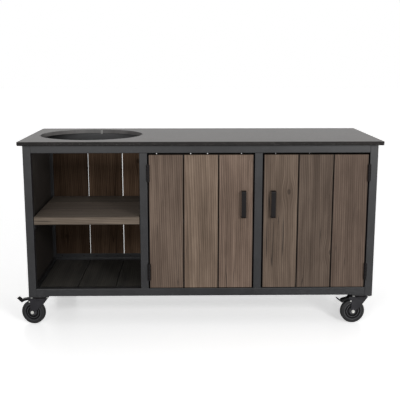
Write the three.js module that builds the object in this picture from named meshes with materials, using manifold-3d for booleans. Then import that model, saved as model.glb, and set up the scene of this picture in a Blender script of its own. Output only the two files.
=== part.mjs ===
// Kamado grill table: a welded steel frame on four braked casters, with a stone top that has a round
// cut-out, an open bay with a shelf for the grill, and a two-door cupboard.
// Millimetres, +Z up. The origin is on the floor under the centre of the top, and the front faces -Y.

import * as THREE from "three";
import { mergeVertices } from "three/addons/utils/BufferGeometryUtils.js";
import Module from "manifold-3d";

const wasm = await Module();
wasm.setup();

// Worktop and its cut-out
const worktopLength = 1800;
const worktopDepth = 695;
const worktopThickness = 20;
const worktopArris = 1.5;
const cutoutOverStileLeft = 9.5;
const cutoutOverStileRight = 0.2;
const cutoutBehindMiddle = 8.5;
const linerWall = 3;
const linerClearance = 0.5;
const linerBelowTop = 0.5;
const linerSeamWidth = 2;
const linerSeamDegrees = 85;

// Welded frame
const sideOverhang = 20;
const frontOverhang = 31.5;
const rearOverhang = 23.5;
const frameHeight = 775;
const tubeSize = 40;
const tubeCornerRadius = 3;
const bayCount = 3;
const openBayCount = 1;
const rearAngleLeg = 25;
const rearAngleThickness = 3;
const ledgeWidth = 30;
const ledgeThickness = 5;
const bearerLeg = 30;
const bearerThickness = 3;
const bearerSetback = 20;
const gussetThickness = 5;

// Sheet steel panels
const panelThickness = 2;
const panelFlange = 15;
const sidePanelRecess = 17;
const dividerRecess = 3;
const panelClearance = 0.5;

// Boards of the back, the floor and the shelf
const boardThickness = 20;
const boardArris = 1.2;
const rearBoardCount = 9;
const boardGap = 5;
const boardSideClearance = 1;
const endBoardExtra = 5;
const middleBoardWidth = 92;
const boardEndClearance = 2;
const floorBelowRail = 12;
const looseFloorBoards = 3;
const deckBattenWidth = 60;
const deckBattenThickness = 8;
const deckBattenInset = 90;
const postClearance = 1;
const shelfTop = 576;
const shelfBoardThickness = 40;
const shelfBoardGap = 3.5;
const shelfBoardCount = 3;
const shelfRearGap = 24.5;
const shelfSideClearance = 3;

// Doors
const doorSideGap = 6.5;
const doorTopGap = 9;
const doorBottomGap = 4;
const doorBoardThickness = 20;
const doorBoardCount = 3;
const doorBoardGap = 4;
const doorTube = 20;
const doorTubeRadius = 1.5;
const handleWidth = 23;
const handleLength = 136;
const handleStandOff = 30;
const handleThickness = 5;
const handleBend = 8;
const handleInset = 47.5;
const handleHeight = 641;
const catchHeight = 60;
const catchPlate = 3.5;
const catchReach = 16;
const catchMagnetDepth = 15;
const catchInset = 1;
const catchAirGap = 0.5;

// Butt hinges of the doors
const hingeLength = 85;
const knuckleRadius = 8;
const knuckleCount = 5;
const knuckleGap = 0.5;
const hingeLeafThickness = 2.5;
const hingeLeafDepth = 34;
const hingePinRadius = 3;
const hingePinClearance = 0.3;
const hingeFaceClearance = 0.5;
const hingeBelowDoorTop = 90;
const hingeAboveDoorBottom = 84;

// Swivel casters
const wheelDiameter = 125;
const wheelWidth = 30;
const treadShoulder = 5;
const rimDiameter = 92;
const rimLip = 3;
const rimRecess = 7;
const hubDiameter = 36;
const hubOverWheel = 1.5;
const axleRadius = 4;
const axleClearance = 0.4;
const axleHeadRadius = 8;
const axleHeadLength = 6;
const trail = 40;
const wheelToHead = 12;
const forkHeadThickness = 6;
const forkHeadRadius = 36;
const forkLegThickness = 3;
const forkHubClearance = 0.5;
const forkEndRadius = 11;
const forkWaistReach = 47;
const raceGap = 1;
const raceHeight = 9;
const raceRadius = 37;
const casterPlateThickness = 4;
const casterPlateLength = 100;
const casterPlateWidth = 85;
const plateCornerRadius = 8;
const plateBoltSpacingX = 80;
const plateBoltSpacingY = 60;
const plateBoltHeadRadius = 7;
const plateBoltHeadHeight = 5;
const kingpinRadius = 7;
const kingpinClearance = 0.5;
const kingpinNutRadius = 11;
const kingpinNutHeight = 7;
const casterFromFrameFace = 50;
const restSwivelLeftDegrees = -13;
const restSwivelRightDegrees = 5;

// Brake pedals
const brakeWidth = 30;
const brakePinRadius = 3;
const brakePinClearance = 0.4;
const brakeHubRadius = 6;
const brakeEarRadius = 9;
const brakeEarDrop = 20;
const brakePivotOverTyre = 9.8;
const brakePivotDegrees = 103;
const brakeArmOverTyre = 5;
const brakeArmDegrees = 112;
const brakeShoeOverTyre = 13.2;
const brakeShoeDegrees = 141;
const brakeTipOverTyre = 47.8;
const brakeTipLowDegrees = 141.2;
const brakeTipHighDegrees = 139;
const brakeBladeRootOverTyre = 22.5;
const brakeBladeRootDegrees = 137.9;
const brakeKneeOverTyre = 26;
const brakeKneeDegrees = 132.7;

// Shares of the sizes that they follow
const forkWaistHeightShare = 0.5;
const hubFaceShare = 0.5;

// How far a cutting solid runs past what it cuts
const overrun = 2;

// Corners closer than this are one corner
const mergeTolerance = 0.0002;

// Facets of the round shapes
const cornerSegments = 2;
const cutoutSegments = 48;
const wheelSegments = 32;
const pinSegments = 12;
const hexSegments = 6;
const raceSegments = 24;
const arcSteps = 6;

// Derived places
const wheelRadius = wheelDiameter / 2;
const forkHeadBottom = wheelDiameter + wheelToHead;
const forkHeadTop = forkHeadBottom + forkHeadThickness;
const raceBottom = forkHeadTop + raceGap;
const casterPlateBottom = raceBottom + raceHeight;
const casterTop = casterPlateBottom + casterPlateThickness;
const frameBottom = casterTop + gussetThickness;
const frameTop = frameBottom + frameHeight;
const openingBottom = frameBottom + tubeSize;
const openingTop = frameTop - tubeSize;
const worktopTop = frameTop + worktopThickness;
const frameEndX = worktopLength / 2 - sideOverhang;
const innerEndX = frameEndX - tubeSize;
const frontY = -worktopDepth / 2 + frontOverhang;
const frontInnerY = frontY + tubeSize;
const rearY = worktopDepth / 2 - rearOverhang;
const rearInnerY = rearY - tubeSize;
const postFrontY = rearInnerY - tubeSize;
const bayWidth = (2 * frameEndX - (bayCount + 1) * tubeSize) / bayCount;
const stileLeftX = (index) => -frameEndX + index * (bayWidth + tubeSize);
const shelfStileX = stileLeftX(openBayCount);
const centreStileX = stileLeftX(bayCount - 1);
const floorTop = openingBottom - floorBelowRail;
const ledgeTop = floorTop - boardThickness;
const cutoutLeftX = -innerEndX - cutoutOverStileLeft;
const cutoutRightX = shelfStileX + cutoutOverStileRight;
const cutoutRadius = (cutoutRightX - cutoutLeftX) / 2;
const cutoutX = (cutoutLeftX + cutoutRightX) / 2;
const cutoutY = (frontInnerY + rearInnerY) / 2 + cutoutBehindMiddle;
const shelfDepth = rearInnerY + rearAngleThickness - shelfRearGap - frontY;
const shelfBoardDepth = (shelfDepth - (shelfBoardCount - 1) * shelfBoardGap) / shelfBoardCount;

// Materials
const finish = (color, roughness, metalness) => new THREE.MeshStandardMaterial({ color, roughness, metalness });
const stone = finish("#3a3a3b", 0.55, 0);
const rawSteel = finish("#77787a", 0.45, 0.8);
const coatedSteel = finish("#3b3c40", 0.5, 0.3);
const blackSteel = finish("#1c1c1e", 0.45, 0.5);
const greyBrownWood = finish("#75675b", 0.75, 0);
const darkWood = finish("#37332f", 0.8, 0);
const blackWood = finish("#242221", 0.8, 0);
const tyreRubber = finish("#1d1d1e", 0.7, 0);

const table = new THREE.Group();

// Adds one piece to a group under its own name.
function piece(group, name, geometry, material) {
  const mesh = new THREE.Mesh(geometry, material);
  mesh.name = name;
  group.add(mesh);
  return mesh;
}

// Solids to join and cut, and back to geometry
function solid(geometry) {
  const bare = geometry.index ? geometry.toNonIndexed() : geometry.clone();
  bare.deleteAttribute("normal");
  bare.deleteAttribute("uv");
  const merged = mergeVertices(bare, mergeTolerance);
  return new wasm.Manifold(
    new wasm.Mesh({
      numProp: 3,
      vertProperties: new Float32Array(merged.attributes.position.array),
      triVerts: new Uint32Array(merged.index.array),
    }),
  );
}

function geometryOf(manifold) {
  const mesh = manifold.getMesh();
  const geometry = new THREE.BufferGeometry();
  geometry.setAttribute("position", new THREE.BufferAttribute(new Float32Array(mesh.vertProperties), 3));
  geometry.setIndex(new THREE.BufferAttribute(new Uint32Array(mesh.triVerts), 1));
  geometry.computeVertexNormals();
  return geometry;
}

const join = (...parts) => geometryOf(parts.map(solid).reduce((all, next) => all.add(next)));
const cut = (from, ...tools) => geometryOf(tools.map(solid).reduce((all, next) => all.subtract(next), solid(from)));

// A box between two corners
function block(low, high) {
  const size = high.map((value, i) => value - low[i]);
  const middle = high.map((value, i) => (value + low[i]) / 2);
  return new THREE.BoxGeometry(...size).translate(...middle);
}

// A rectangle with rounded corners, centred on the origin
function roundedRectangle(width, height, radius) {
  const x = width / 2;
  const y = height / 2;
  const shape = new THREE.Shape();
  shape.moveTo(-x + radius, -y);
  shape.lineTo(x - radius, -y);
  shape.absarc(x - radius, -y + radius, radius, -Math.PI / 2, 0, false);
  shape.lineTo(x, y - radius);
  shape.absarc(x - radius, y - radius, radius, 0, Math.PI / 2, false);
  shape.lineTo(-x + radius, y);
  shape.absarc(-x + radius, y - radius, radius, Math.PI / 2, Math.PI, false);
  shape.lineTo(-x, -y + radius);
  shape.absarc(-x + radius, -y + radius, radius, Math.PI, Math.PI * 1.5, false);
  return shape;
}

// Turns a shape drawn in two axes and extruded along the third into place.
const toAxis = {
  x: new THREE.Matrix4().makeBasis(
    new THREE.Vector3(0, 1, 0),
    new THREE.Vector3(0, 0, 1),
    new THREE.Vector3(1, 0, 0),
  ),
  y: new THREE.Matrix4().makeBasis(
    new THREE.Vector3(0, 0, 1),
    new THREE.Vector3(1, 0, 0),
    new THREE.Vector3(0, 1, 0),
  ),
  z: new THREE.Matrix4(),
};
const crossAxes = { x: [1, 2, 0], y: [2, 0, 1], z: [0, 1, 2] };

// A bar with rounded edges between two corners, running along one axis
function bar(axis, low, high, radius = tubeCornerRadius, segments = cornerSegments) {
  const [u, v, w] = crossAxes[axis];
  const shape = roundedRectangle(high[u] - low[u], high[v] - low[v], radius);
  const geometry = new THREE.ExtrudeGeometry(shape, {
    depth: high[w] - low[w],
    bevelEnabled: false,
    curveSegments: segments,
  });
  const start = [0, 0, 0];
  start[u] = (low[u] + high[u]) / 2;
  start[v] = (low[v] + high[v]) / 2;
  start[w] = low[w];
  return geometry.applyMatrix4(toAxis[axis]).translate(...start);
}

// A board: a bar whose long edges have a small arris
const board = (axis, low, high) => bar(axis, low, high, boardArris, 1);

// A flat outline in X and Z, extruded along Y from one place to another
function plateAlongY(shape, fromY, toY, segments = arcSteps) {
  const geometry = new THREE.ExtrudeGeometry(shape, {
    depth: toY - fromY,
    bevelEnabled: false,
    curveSegments: segments,
  });
  return geometry.rotateX(Math.PI / 2).translate(0, toY, 0);
}

// A round bar along an axis between two places
function rod(axis, radius, from, to, at = [0, 0], segments = pinSegments) {
  const geometry = new THREE.CylinderGeometry(radius, radius, to - from, segments);
  const middle = (from + to) / 2;
  if (axis === "z") return geometry.rotateX(Math.PI / 2).translate(at[0], at[1], middle);
  return geometry.translate(at[0], middle, at[1]);
}

// Worktop slab with its round cut-out
function worktopSlab() {
  const shape = new THREE.Shape();
  const x = worktopLength / 2;
  const y = worktopDepth / 2;
  shape.moveTo(-x, -y);
  shape.lineTo(x, -y);
  shape.lineTo(x, y);
  shape.lineTo(-x, y);
  const hole = new THREE.Path();
  hole.absarc(cutoutX, cutoutY, cutoutRadius, 0, Math.PI * 2, false);
  shape.holes.push(hole);
  return new THREE.ExtrudeGeometry(shape, {
    depth: worktopThickness - 2 * worktopArris,
    bevelThickness: worktopArris,
    bevelSize: worktopArris,
    bevelOffset: -worktopArris,
    bevelSegments: 1,
    curveSegments: cutoutSegments,
  }).translate(0, 0, frameTop + worktopArris);
}

// Rolled band that lines the cut-out, open at its seam
function cutoutLiner() {
  const outer = cutoutRadius - linerClearance;
  const inner = outer - linerWall;
  const seam = THREE.MathUtils.degToRad(linerSeamDegrees);
  const half = linerSeamWidth / 2 / outer;
  const shape = new THREE.Shape();
  shape.absarc(0, 0, outer, seam + half, seam + 2 * Math.PI - half, false);
  shape.absarc(0, 0, inner, seam + 2 * Math.PI - half, seam + half, true);
  return new THREE.ExtrudeGeometry(shape, {
    depth: worktopThickness - linerBelowTop,
    bevelEnabled: false,
    curveSegments: cutoutSegments,
  }).translate(cutoutX, cutoutY, frameTop);
}

// Front frame: two rails, the middle stiles, the top cross rails, the floor ledge and the bearer
// under the right end of the shelf
function frontFrame() {
  const weld = tubeCornerRadius;
  const parts = [
    bar("x", [-innerEndX, frontY, openingTop], [innerEndX, frontInnerY, frameTop]),
    bar("x", [-innerEndX, frontY, frameBottom], [innerEndX, frontInnerY, openingBottom]),
    block([-innerEndX, frontInnerY - weld, ledgeTop - ledgeThickness], [innerEndX, frontInnerY + ledgeWidth, ledgeTop]),
  ];
  for (let index = 1; index < bayCount; index += 1) {
    const left = stileLeftX(index);
    const right = left + tubeSize;
    parts.push(
      bar("z", [left, frontY, openingBottom - weld], [right, frontInnerY, openingTop + weld]),
      bar("y", [left, frontInnerY - weld, openingTop], [right, rearInnerY, frameTop]),
    );
  }
  parts.push(...bearer(shelfStileX, -1));
  return join(...parts);
}

// Angle under one end of the shelf: its upright leg is on the plane x, and the other reaches inwards
function bearer(x, inward) {
  const front = frontY + bearerSetback;
  const top = shelfTop - shelfBoardThickness;
  const span = (a, b) => [Math.min(a, b), Math.max(a, b)];
  const [uprightLow, uprightHigh] = span(x, x + inward * bearerThickness);
  const [legLow, legHigh] = span(x, x + inward * bearerLeg);
  return [
    block([uprightLow, front, top - bearerLeg], [uprightHigh, rearInnerY, top]),
    block([legLow, front, top - bearerThickness], [legHigh, rearInnerY, top]),
  ];
}

// Rear frame: two rails, each with the angle that carries the boards, the posts behind the middle
// stiles and the rear floor ledge
function rearFrame() {
  const wall = rearAngleThickness;
  const flatLeg = (fromZ, toZ) => block([-innerEndX, rearInnerY, fromZ], [innerEndX, rearInnerY + rearAngleLeg, toZ]);
  const uprightLeg = (fromZ, toZ) => block([-innerEndX, rearInnerY, fromZ], [innerEndX, rearInnerY + wall, toZ]);
  const posts = [];
  for (let index = 1; index < bayCount; index += 1) {
    const left = stileLeftX(index);
    posts.push(bar("z", [left, postFrontY, ledgeTop], [left + tubeSize, rearInnerY, openingTop]));
  }
  return join(
    bar("x", [-innerEndX, rearInnerY, openingTop], [innerEndX, rearY, frameTop]),
    bar("x", [-innerEndX, rearInnerY, frameBottom], [innerEndX, rearY, openingBottom]),
    flatLeg(openingBottom - wall, openingBottom + wall),
    uprightLeg(openingBottom - wall, openingBottom + rearAngleLeg),
    flatLeg(openingTop - wall, openingTop + wall),
    uprightLeg(openingTop - rearAngleLeg, openingTop + wall),
    ...posts,
    block(
      [-innerEndX, rearInnerY - ledgeWidth, ledgeTop - ledgeThickness],
      [innerEndX, rearInnerY + tubeCornerRadius, ledgeTop],
    ),
  );
}

// End frame: corner stiles, side rails and the gusset plates that take the casters. side is -1 or 1.
function endFrame(side) {
  const weld = tubeCornerRadius;
  const [low, high] = side < 0 ? [-frameEndX, -innerEndX] : [innerEndX, frameEndX];
  const [gussetLow, gussetHigh] =
    side < 0 ? [-frameEndX, -frameEndX + casterPlateLength] : [frameEndX - casterPlateLength, frameEndX];
  const gussetDepth = casterFromFrameFace + casterPlateWidth / 2;
  const parts = [
    bar("z", [low, frontY, casterTop], [high, frontInnerY, frameTop]),
    bar("z", [low, rearInnerY, casterTop], [high, rearY, frameTop]),
    bar("y", [low, frontInnerY - weld, openingTop], [high, rearInnerY + weld, frameTop]),
    bar("y", [low, frontInnerY - weld, frameBottom], [high, rearInnerY + weld, openingBottom]),
    block([gussetLow, frontY, casterTop], [gussetHigh, frontY + gussetDepth, frameBottom]),
    block([gussetLow, rearY - gussetDepth, casterTop], [gussetHigh, rearY, frameBottom]),
  ];
  if (side < 0) parts.push(...bearer(-innerEndX, 1));
  return join(...parts);
}

// Sheet steel pan, flat on the side that faces the bay, with its flanges turned the other way
function panel(faceX, away, fromY, toY, fromZ, toZ) {
  const flangeX = faceX + away * panelFlange;
  const skinX = faceX + away * panelThickness;
  const low = [Math.min(faceX, flangeX), fromY + panelClearance, fromZ + panelClearance];
  const high = [Math.max(faceX, flangeX), toY - panelClearance, toZ - panelClearance];
  const past = flangeX + away * overrun;
  return cut(
    block(low, high),
    block(
      [Math.min(skinX, past), low[1] + panelThickness, low[2] + panelThickness],
      [Math.max(skinX, past), high[1] - panelThickness, high[2] - panelThickness],
    ),
  );
}

// Left and right edge of each board of the back and the floor; the end boards are wider, up to the frame.
function boardSpans() {
  const outer = -innerEndX + boardSideClearance + endBoardExtra;
  const half = (rearBoardCount - 1) / 2;
  const width = (-outer - middleBoardWidth / 2 - half * boardGap) / half;
  const spans = [];
  let x = outer;
  for (let index = 0; index < rearBoardCount; index += 1) {
    const wide = index === half ? middleBoardWidth : width;
    spans.push([x, x + wide]);
    x += wide + boardGap;
  }
  spans[0][0] -= endBoardExtra;
  spans[rearBoardCount - 1][1] += endBoardExtra;
  return spans;
}

// A floor board runs between the rails and is notched round a rear post.
function floorBoard([left, right]) {
  const low = [left, frontInnerY + boardEndClearance, ledgeTop];
  const high = [right, rearInnerY - boardEndClearance, floorTop];
  const notches = [];
  for (let index = 1; index < bayCount; index += 1) {
    const post = stileLeftX(index);
    if (post + tubeSize + postClearance < left || post - postClearance > right) continue;
    notches.push(
      block(
        [post - postClearance, postFrontY - postClearance, ledgeTop - overrun],
        [post + tubeSize + postClearance, rearInnerY, floorTop + overrun],
      ),
    );
  }
  return cut(board("y", low, high), ...notches);
}

// The floor boards under the cupboard, joined by two battens below
function floorDeck(spans) {
  const left = spans[0][0];
  const right = spans[spans.length - 1][1];
  const battens = [frontInnerY + deckBattenInset, rearInnerY - deckBattenInset - deckBattenWidth].map((y) =>
    block(
      [left, y, ledgeTop - deckBattenThickness],
      [right, y + deckBattenWidth, ledgeTop + boardArris],
    ),
  );
  return join(...spans.map(floorBoard), ...battens);
}

// Doors: side is -1 for the door hinged on its left edge and 1 for the one hinged on its right edge.
const doorBottom = openingBottom + doorBottomGap;
const doorTop = openingTop - doorTopGap;
const doorBackY = frontY + doorBoardThickness + doorTube;

function doorEdges(side) {
  const bayLeft = (side < 0 ? shelfStileX : centreStileX) + tubeSize;
  return [bayLeft + doorSideGap, bayLeft + bayWidth - doorSideGap];
}

function doorBoard(side, index) {
  const [left, right] = doorEdges(side);
  const width = (right - left - (doorBoardCount - 1) * doorBoardGap) / doorBoardCount;
  const x = left + index * (width + doorBoardGap);
  return board("z", [x, frontY, doorBottom], [x + width, frontY + doorBoardThickness, doorTop]);
}

function doorFrame(side) {
  const [left, right] = doorEdges(side);
  const weld = doorTubeRadius;
  const y0 = doorBackY - doorTube;
  const tube = (axis, low, high) => bar(axis, low, high, doorTubeRadius, 1);
  const middle = (doorBottom + doorTop) / 2;
  const rails = [doorBottom, middle - doorTube / 2, doorTop - doorTube].map((z) =>
    tube("x", [left + doorTube - weld, y0, z], [right - doorTube + weld, doorBackY, z + doorTube]),
  );
  return join(
    tube("z", [left, y0, doorBottom], [left + doorTube, doorBackY, doorTop]),
    tube("z", [right - doorTube, y0, doorBottom], [right, doorBackY, doorTop]),
    ...rails,
  );
}

// Bow handle bent from flat bar, its feet on the door's face
function handle(side) {
  const [left, right] = doorEdges(side);
  const x = side < 0 ? right - handleInset : left + handleInset;
  const out = roundedBow(handleStandOff, handleLength, handleBend);
  const inner = roundedBow(
    handleStandOff - handleThickness,
    handleLength - 2 * handleThickness,
    handleBend - handleThickness,
  );
  const extrude = (shape, depth) =>
    new THREE.ExtrudeGeometry(shape, { depth, bevelEnabled: false, curveSegments: arcSteps });
  const low = x - handleWidth / 2;
  const place = (geometry, from) => geometry.applyMatrix4(toAxis.x).translate(from, frontY, handleHeight);
  return cut(
    place(extrude(out, handleWidth), low),
    place(extrude(inner, handleWidth + 2 * overrun), low - overrun),
  );
}

// Outline of a bow in Y and Z: flat on the door's face, rounded away from it
function roundedBow(reach, length, radius) {
  const half = length / 2;
  const shape = new THREE.Shape();
  shape.moveTo(0, half);
  shape.lineTo(-reach + radius, half);
  shape.absarc(-reach + radius, half - radius, radius, Math.PI / 2, Math.PI, false);
  shape.lineTo(-reach, -half + radius);
  shape.absarc(-reach + radius, -half + radius, radius, Math.PI, Math.PI * 1.5, false);
  shape.lineTo(0, -half);
  return shape;
}

// Butt hinge in the gap beside a door, its knuckle in front. Odd knuckles are the frame leaf's.
const hingeAxisY = frontY - knuckleRadius - hingeFaceClearance;

function hingeAxisX(side) {
  const [left, right] = doorEdges(side);
  return side < 0 ? left - doorSideGap / 2 : right + doorSideGap / 2;
}

function hingeHeights() {
  return { lower: doorBottom + hingeAboveDoorBottom, upper: doorTop - hingeBelowDoorTop };
}

function hingeLeaf(side, height, onFrame) {
  const axisX = hingeAxisX(side);
  const at = [axisX, hingeAxisY];
  const bottom = height - hingeLength / 2;
  const pitch = hingeLength / knuckleCount;
  const toFrame = onFrame ? side : -side;
  const faceX = axisX + (toFrame * doorSideGap) / 2;
  const innerX = faceX - toFrame * hingeLeafThickness;
  const leaf = block(
    [Math.min(faceX, innerX), hingeAxisY, bottom],
    [Math.max(faceX, innerX), frontY + hingeLeafDepth, bottom + hingeLength],
  );
  const own = [];
  const others = [];
  for (let index = 0; index < knuckleCount; index += 1) {
    const low = bottom + index * pitch;
    const mine = (index % 2 === 0) === onFrame;
    if (mine) {
      own.push(rod("z", knuckleRadius, low + knuckleGap / 2, low + pitch - knuckleGap / 2, at));
    } else {
      others.push(rod("z", knuckleRadius + knuckleGap, low - knuckleGap / 2, low + pitch + knuckleGap / 2, at));
    }
  }
  if (onFrame) {
    return join(cut(leaf, ...others), ...own, rod("z", hingePinRadius, bottom, bottom + hingeLength, at));
  }
  const bore = rod("z", hingePinRadius + hingePinClearance, bottom - overrun, bottom + hingeLength + overrun, at);
  return cut(join(cut(leaf, ...others), ...own), bore);
}

// Double magnetic catch behind the centre stile; both doors close against it
function doorCatch() {
  const left = centreStileX;
  const right = left + tubeSize;
  const z0 = (doorBottom + doorTop) / 2 + doorTube;
  const z1 = z0 + catchHeight;
  const wingLeft = left - doorSideGap - catchReach;
  const wingRight = right + doorSideGap + catchReach;
  const wingY = doorBackY + catchAirGap;
  const magnetEnd = catchReach + doorSideGap / 2;
  return join(
    block([left + catchInset, frontInnerY, z0], [right - catchInset, frontInnerY + catchPlate, z1]),
    block([wingLeft, wingY, z0], [wingRight, frontInnerY + catchPlate, z1]),
    block([wingLeft, wingY, z0], [wingLeft + magnetEnd, wingY + catchMagnetDepth, z1]),
    block([wingRight - magnetEnd, wingY, z0], [wingRight, wingY + catchMagnetDepth, z1]),
  );
}

// Caster pieces, drawn with the swivel axis on Z and the wheel trailing towards -X
const headInner = wheelWidth / 2 + hubOverWheel + forkHubClearance;
const legOuter = headInner + forkLegThickness;

function wheel() {
  const half = wheelWidth / 2;
  const rim = rimDiameter / 2;
  const hub = hubDiameter / 2;
  const bore = axleRadius + axleClearance;
  const web = half - rimRecess;
  const hubFace = half + hubOverWheel;
  const boss = bore + (hub - bore) * hubFaceShare;
  const profile = [
    [bore, -hubFace],
    [boss, -hubFace],
    [hub, -web],
    [rim - rimLip, -web],
    [rim, -half],
    [wheelRadius - treadShoulder, -half],
    [wheelRadius, -half + treadShoulder],
    [wheelRadius, half - treadShoulder],
    [wheelRadius - treadShoulder, half],
    [rim, half],
    [rim - rimLip, web],
    [hub, web],
    [boss, hubFace],
    [bore, hubFace],
    [bore, -hubFace],
  ].map(([radius, along]) => new THREE.Vector2(radius, along));
  return new THREE.LatheGeometry(profile, wheelSegments).translate(-trail, 0, wheelRadius);
}

// Place in X and Z of a point at an angle round the axle, a height over the tyre
function overTyre(height, degrees) {
  const angle = THREE.MathUtils.degToRad(degrees);
  const radius = wheelRadius + height;
  return new THREE.Vector2(-trail + radius * Math.cos(angle), wheelRadius + radius * Math.sin(angle));
}

function forkLeg(fromY, toY) {
  const pivot = overTyre(brakePivotOverTyre, brakePivotDegrees);
  const waistZ = wheelRadius + (forkHeadBottom - wheelRadius) * forkWaistHeightShare;
  const shape = new THREE.Shape();
  shape.moveTo(forkHeadRadius, forkHeadTop);
  shape.lineTo(forkHeadRadius, forkHeadBottom);
  shape.lineTo(-trail + forkWaistReach, waistZ);
  shape.absarc(-trail, wheelRadius, forkEndRadius, 0, Math.PI, true);
  shape.lineTo(-trail - forkEndRadius, pivot.y - brakeEarDrop);
  shape.lineTo(pivot.x - brakeEarRadius, pivot.y);
  shape.absarc(pivot.x, pivot.y, brakeEarRadius, Math.PI, Math.PI / 2, true);
  shape.lineTo(-forkHeadRadius, forkHeadTop);
  return plateAlongY(shape, fromY, toY);
}

function fork() {
  const pivot = overTyre(brakePivotOverTyre, brakePivotDegrees);
  const axle = [-trail, wheelRadius];
  const head = rod("z", forkHeadRadius, forkHeadBottom, forkHeadTop, [0, 0], raceSegments);
  const bore = rod("z", kingpinRadius + kingpinClearance, forkHeadBottom - overrun, forkHeadTop + overrun);
  return join(
    cut(head, bore),
    forkLeg(headInner, legOuter),
    forkLeg(-legOuter, -headInner),
    rod("y", axleRadius, -legOuter, legOuter, axle),
    rod("y", axleHeadRadius, legOuter - forkLegThickness / 2, legOuter + axleHeadLength, axle, hexSegments),
    rod("y", axleHeadRadius, -legOuter - axleHeadLength, -legOuter + forkLegThickness / 2, axle, hexSegments),
    rod("y", brakePinRadius, -legOuter, legOuter, [pivot.x, pivot.y]),
  );
}

function brakePedal() {
  const pivot = overTyre(brakePivotOverTyre, brakePivotDegrees);
  const shape = new THREE.Shape();
  const corner = (height, degrees) => {
    const point = overTyre(height, degrees);
    shape.lineTo(point.x, point.y);
  };
  shape.moveTo(pivot.x, pivot.y + brakeHubRadius);
  shape.absarc(pivot.x, pivot.y, brakeHubRadius, Math.PI / 2, -Math.PI / 2, true);
  for (let step = 0; step <= arcSteps; step += 1) {
    const share = step / arcSteps;
    corner(
      THREE.MathUtils.lerp(brakeArmOverTyre, brakeShoeOverTyre, share),
      THREE.MathUtils.lerp(brakeArmDegrees, brakeShoeDegrees, share),
    );
  }
  corner(brakeTipOverTyre, brakeTipLowDegrees);
  corner(brakeTipOverTyre, brakeTipHighDegrees);
  corner(brakeBladeRootOverTyre, brakeBladeRootDegrees);
  corner(brakeKneeOverTyre, brakeKneeDegrees);
  const body = plateAlongY(shape, -brakeWidth / 2, brakeWidth / 2);
  const bore = rod("y", brakePinRadius + brakePinClearance, -brakeWidth, brakeWidth, [pivot.x, pivot.y]);
  return cut(body, bore);
}

function casterPlate() {
  const plate = new THREE.ExtrudeGeometry(roundedRectangle(casterPlateLength, casterPlateWidth, plateCornerRadius), {
    depth: casterPlateThickness,
    bevelEnabled: false,
    curveSegments: cornerSegments,
  }).translate(0, 0, casterPlateBottom);
  const parts = [
    plate,
    rod("z", raceRadius, raceBottom, casterPlateBottom + overrun, [0, 0], raceSegments),
    rod("z", kingpinRadius, forkHeadBottom - kingpinNutHeight / 2, raceBottom + overrun),
    rod(
      "z",
      kingpinNutRadius,
      forkHeadBottom - raceGap - kingpinNutHeight,
      forkHeadBottom - raceGap,
      [0, 0],
      hexSegments,
    ),
  ];
  for (const x of [-plateBoltSpacingX / 2, plateBoltSpacingX / 2]) {
    for (const y of [-plateBoltSpacingY / 2, plateBoltSpacingY / 2]) {
      const bottom = casterPlateBottom - plateBoltHeadHeight;
      parts.push(rod("z", plateBoltHeadRadius, bottom, casterPlateBottom + overrun, [x, y], hexSegments));
    }
  }
  return join(...parts);
}

// The four casters, each with its place and its turn at rest. The front pair trails to the left, a
// little askew, and the rear pair is the front pair turned half round the middle of the table.
function addCasters() {
  const x = frameEndX - casterPlateLength / 2;
  const left = THREE.MathUtils.degToRad(restSwivelLeftDegrees);
  const right = THREE.MathUtils.degToRad(restSwivelRightDegrees);
  const corners = {
    front_left: [-x, frontY + casterFromFrameFace, left],
    front_right: [x, frontY + casterFromFrameFace, right],
    rear_left: [-x, rearY - casterFromFrameFace, Math.PI + right],
    rear_right: [x, rearY - casterFromFrameFace, Math.PI + left],
  };
  for (const [corner, [px, py, turn]] of Object.entries(corners)) {
    const caster = new THREE.Group();
    caster.position.set(px, py, 0);
    piece(caster, `caster_plate_${corner}`, casterPlate(), blackSteel);
    const swivel = new THREE.Group();
    swivel.rotation.z = turn;
    piece(swivel, `caster_fork_${corner}`, fork(), blackSteel);
    piece(swivel, `caster_wheel_${corner}`, wheel(), tyreRubber);
    piece(swivel, `brake_pedal_${corner}`, brakePedal(), blackSteel);
    caster.add(swivel);
    table.add(caster);
  }
}

// The two doors, left and right
function addDoors() {
  const heights = hingeHeights();
  for (const [name, side] of [["left", -1], ["right", 1]]) {
    for (let index = 0; index < doorBoardCount; index += 1) {
      piece(table, `door_${name}_board_${index + 1}`, doorBoard(side, index), greyBrownWood);
    }
    piece(table, `door_${name}_frame`, doorFrame(side), coatedSteel);
    piece(table, `door_${name}_handle`, handle(side), blackSteel);
    for (const [level, height] of Object.entries(heights)) {
      piece(table, `hinge_${name}_${level}_frame_leaf`, hingeLeaf(side, height, true), blackSteel);
      piece(table, `hinge_${name}_${level}_door_leaf`, hingeLeaf(side, height, false), blackSteel);
    }
  }
}

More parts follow.
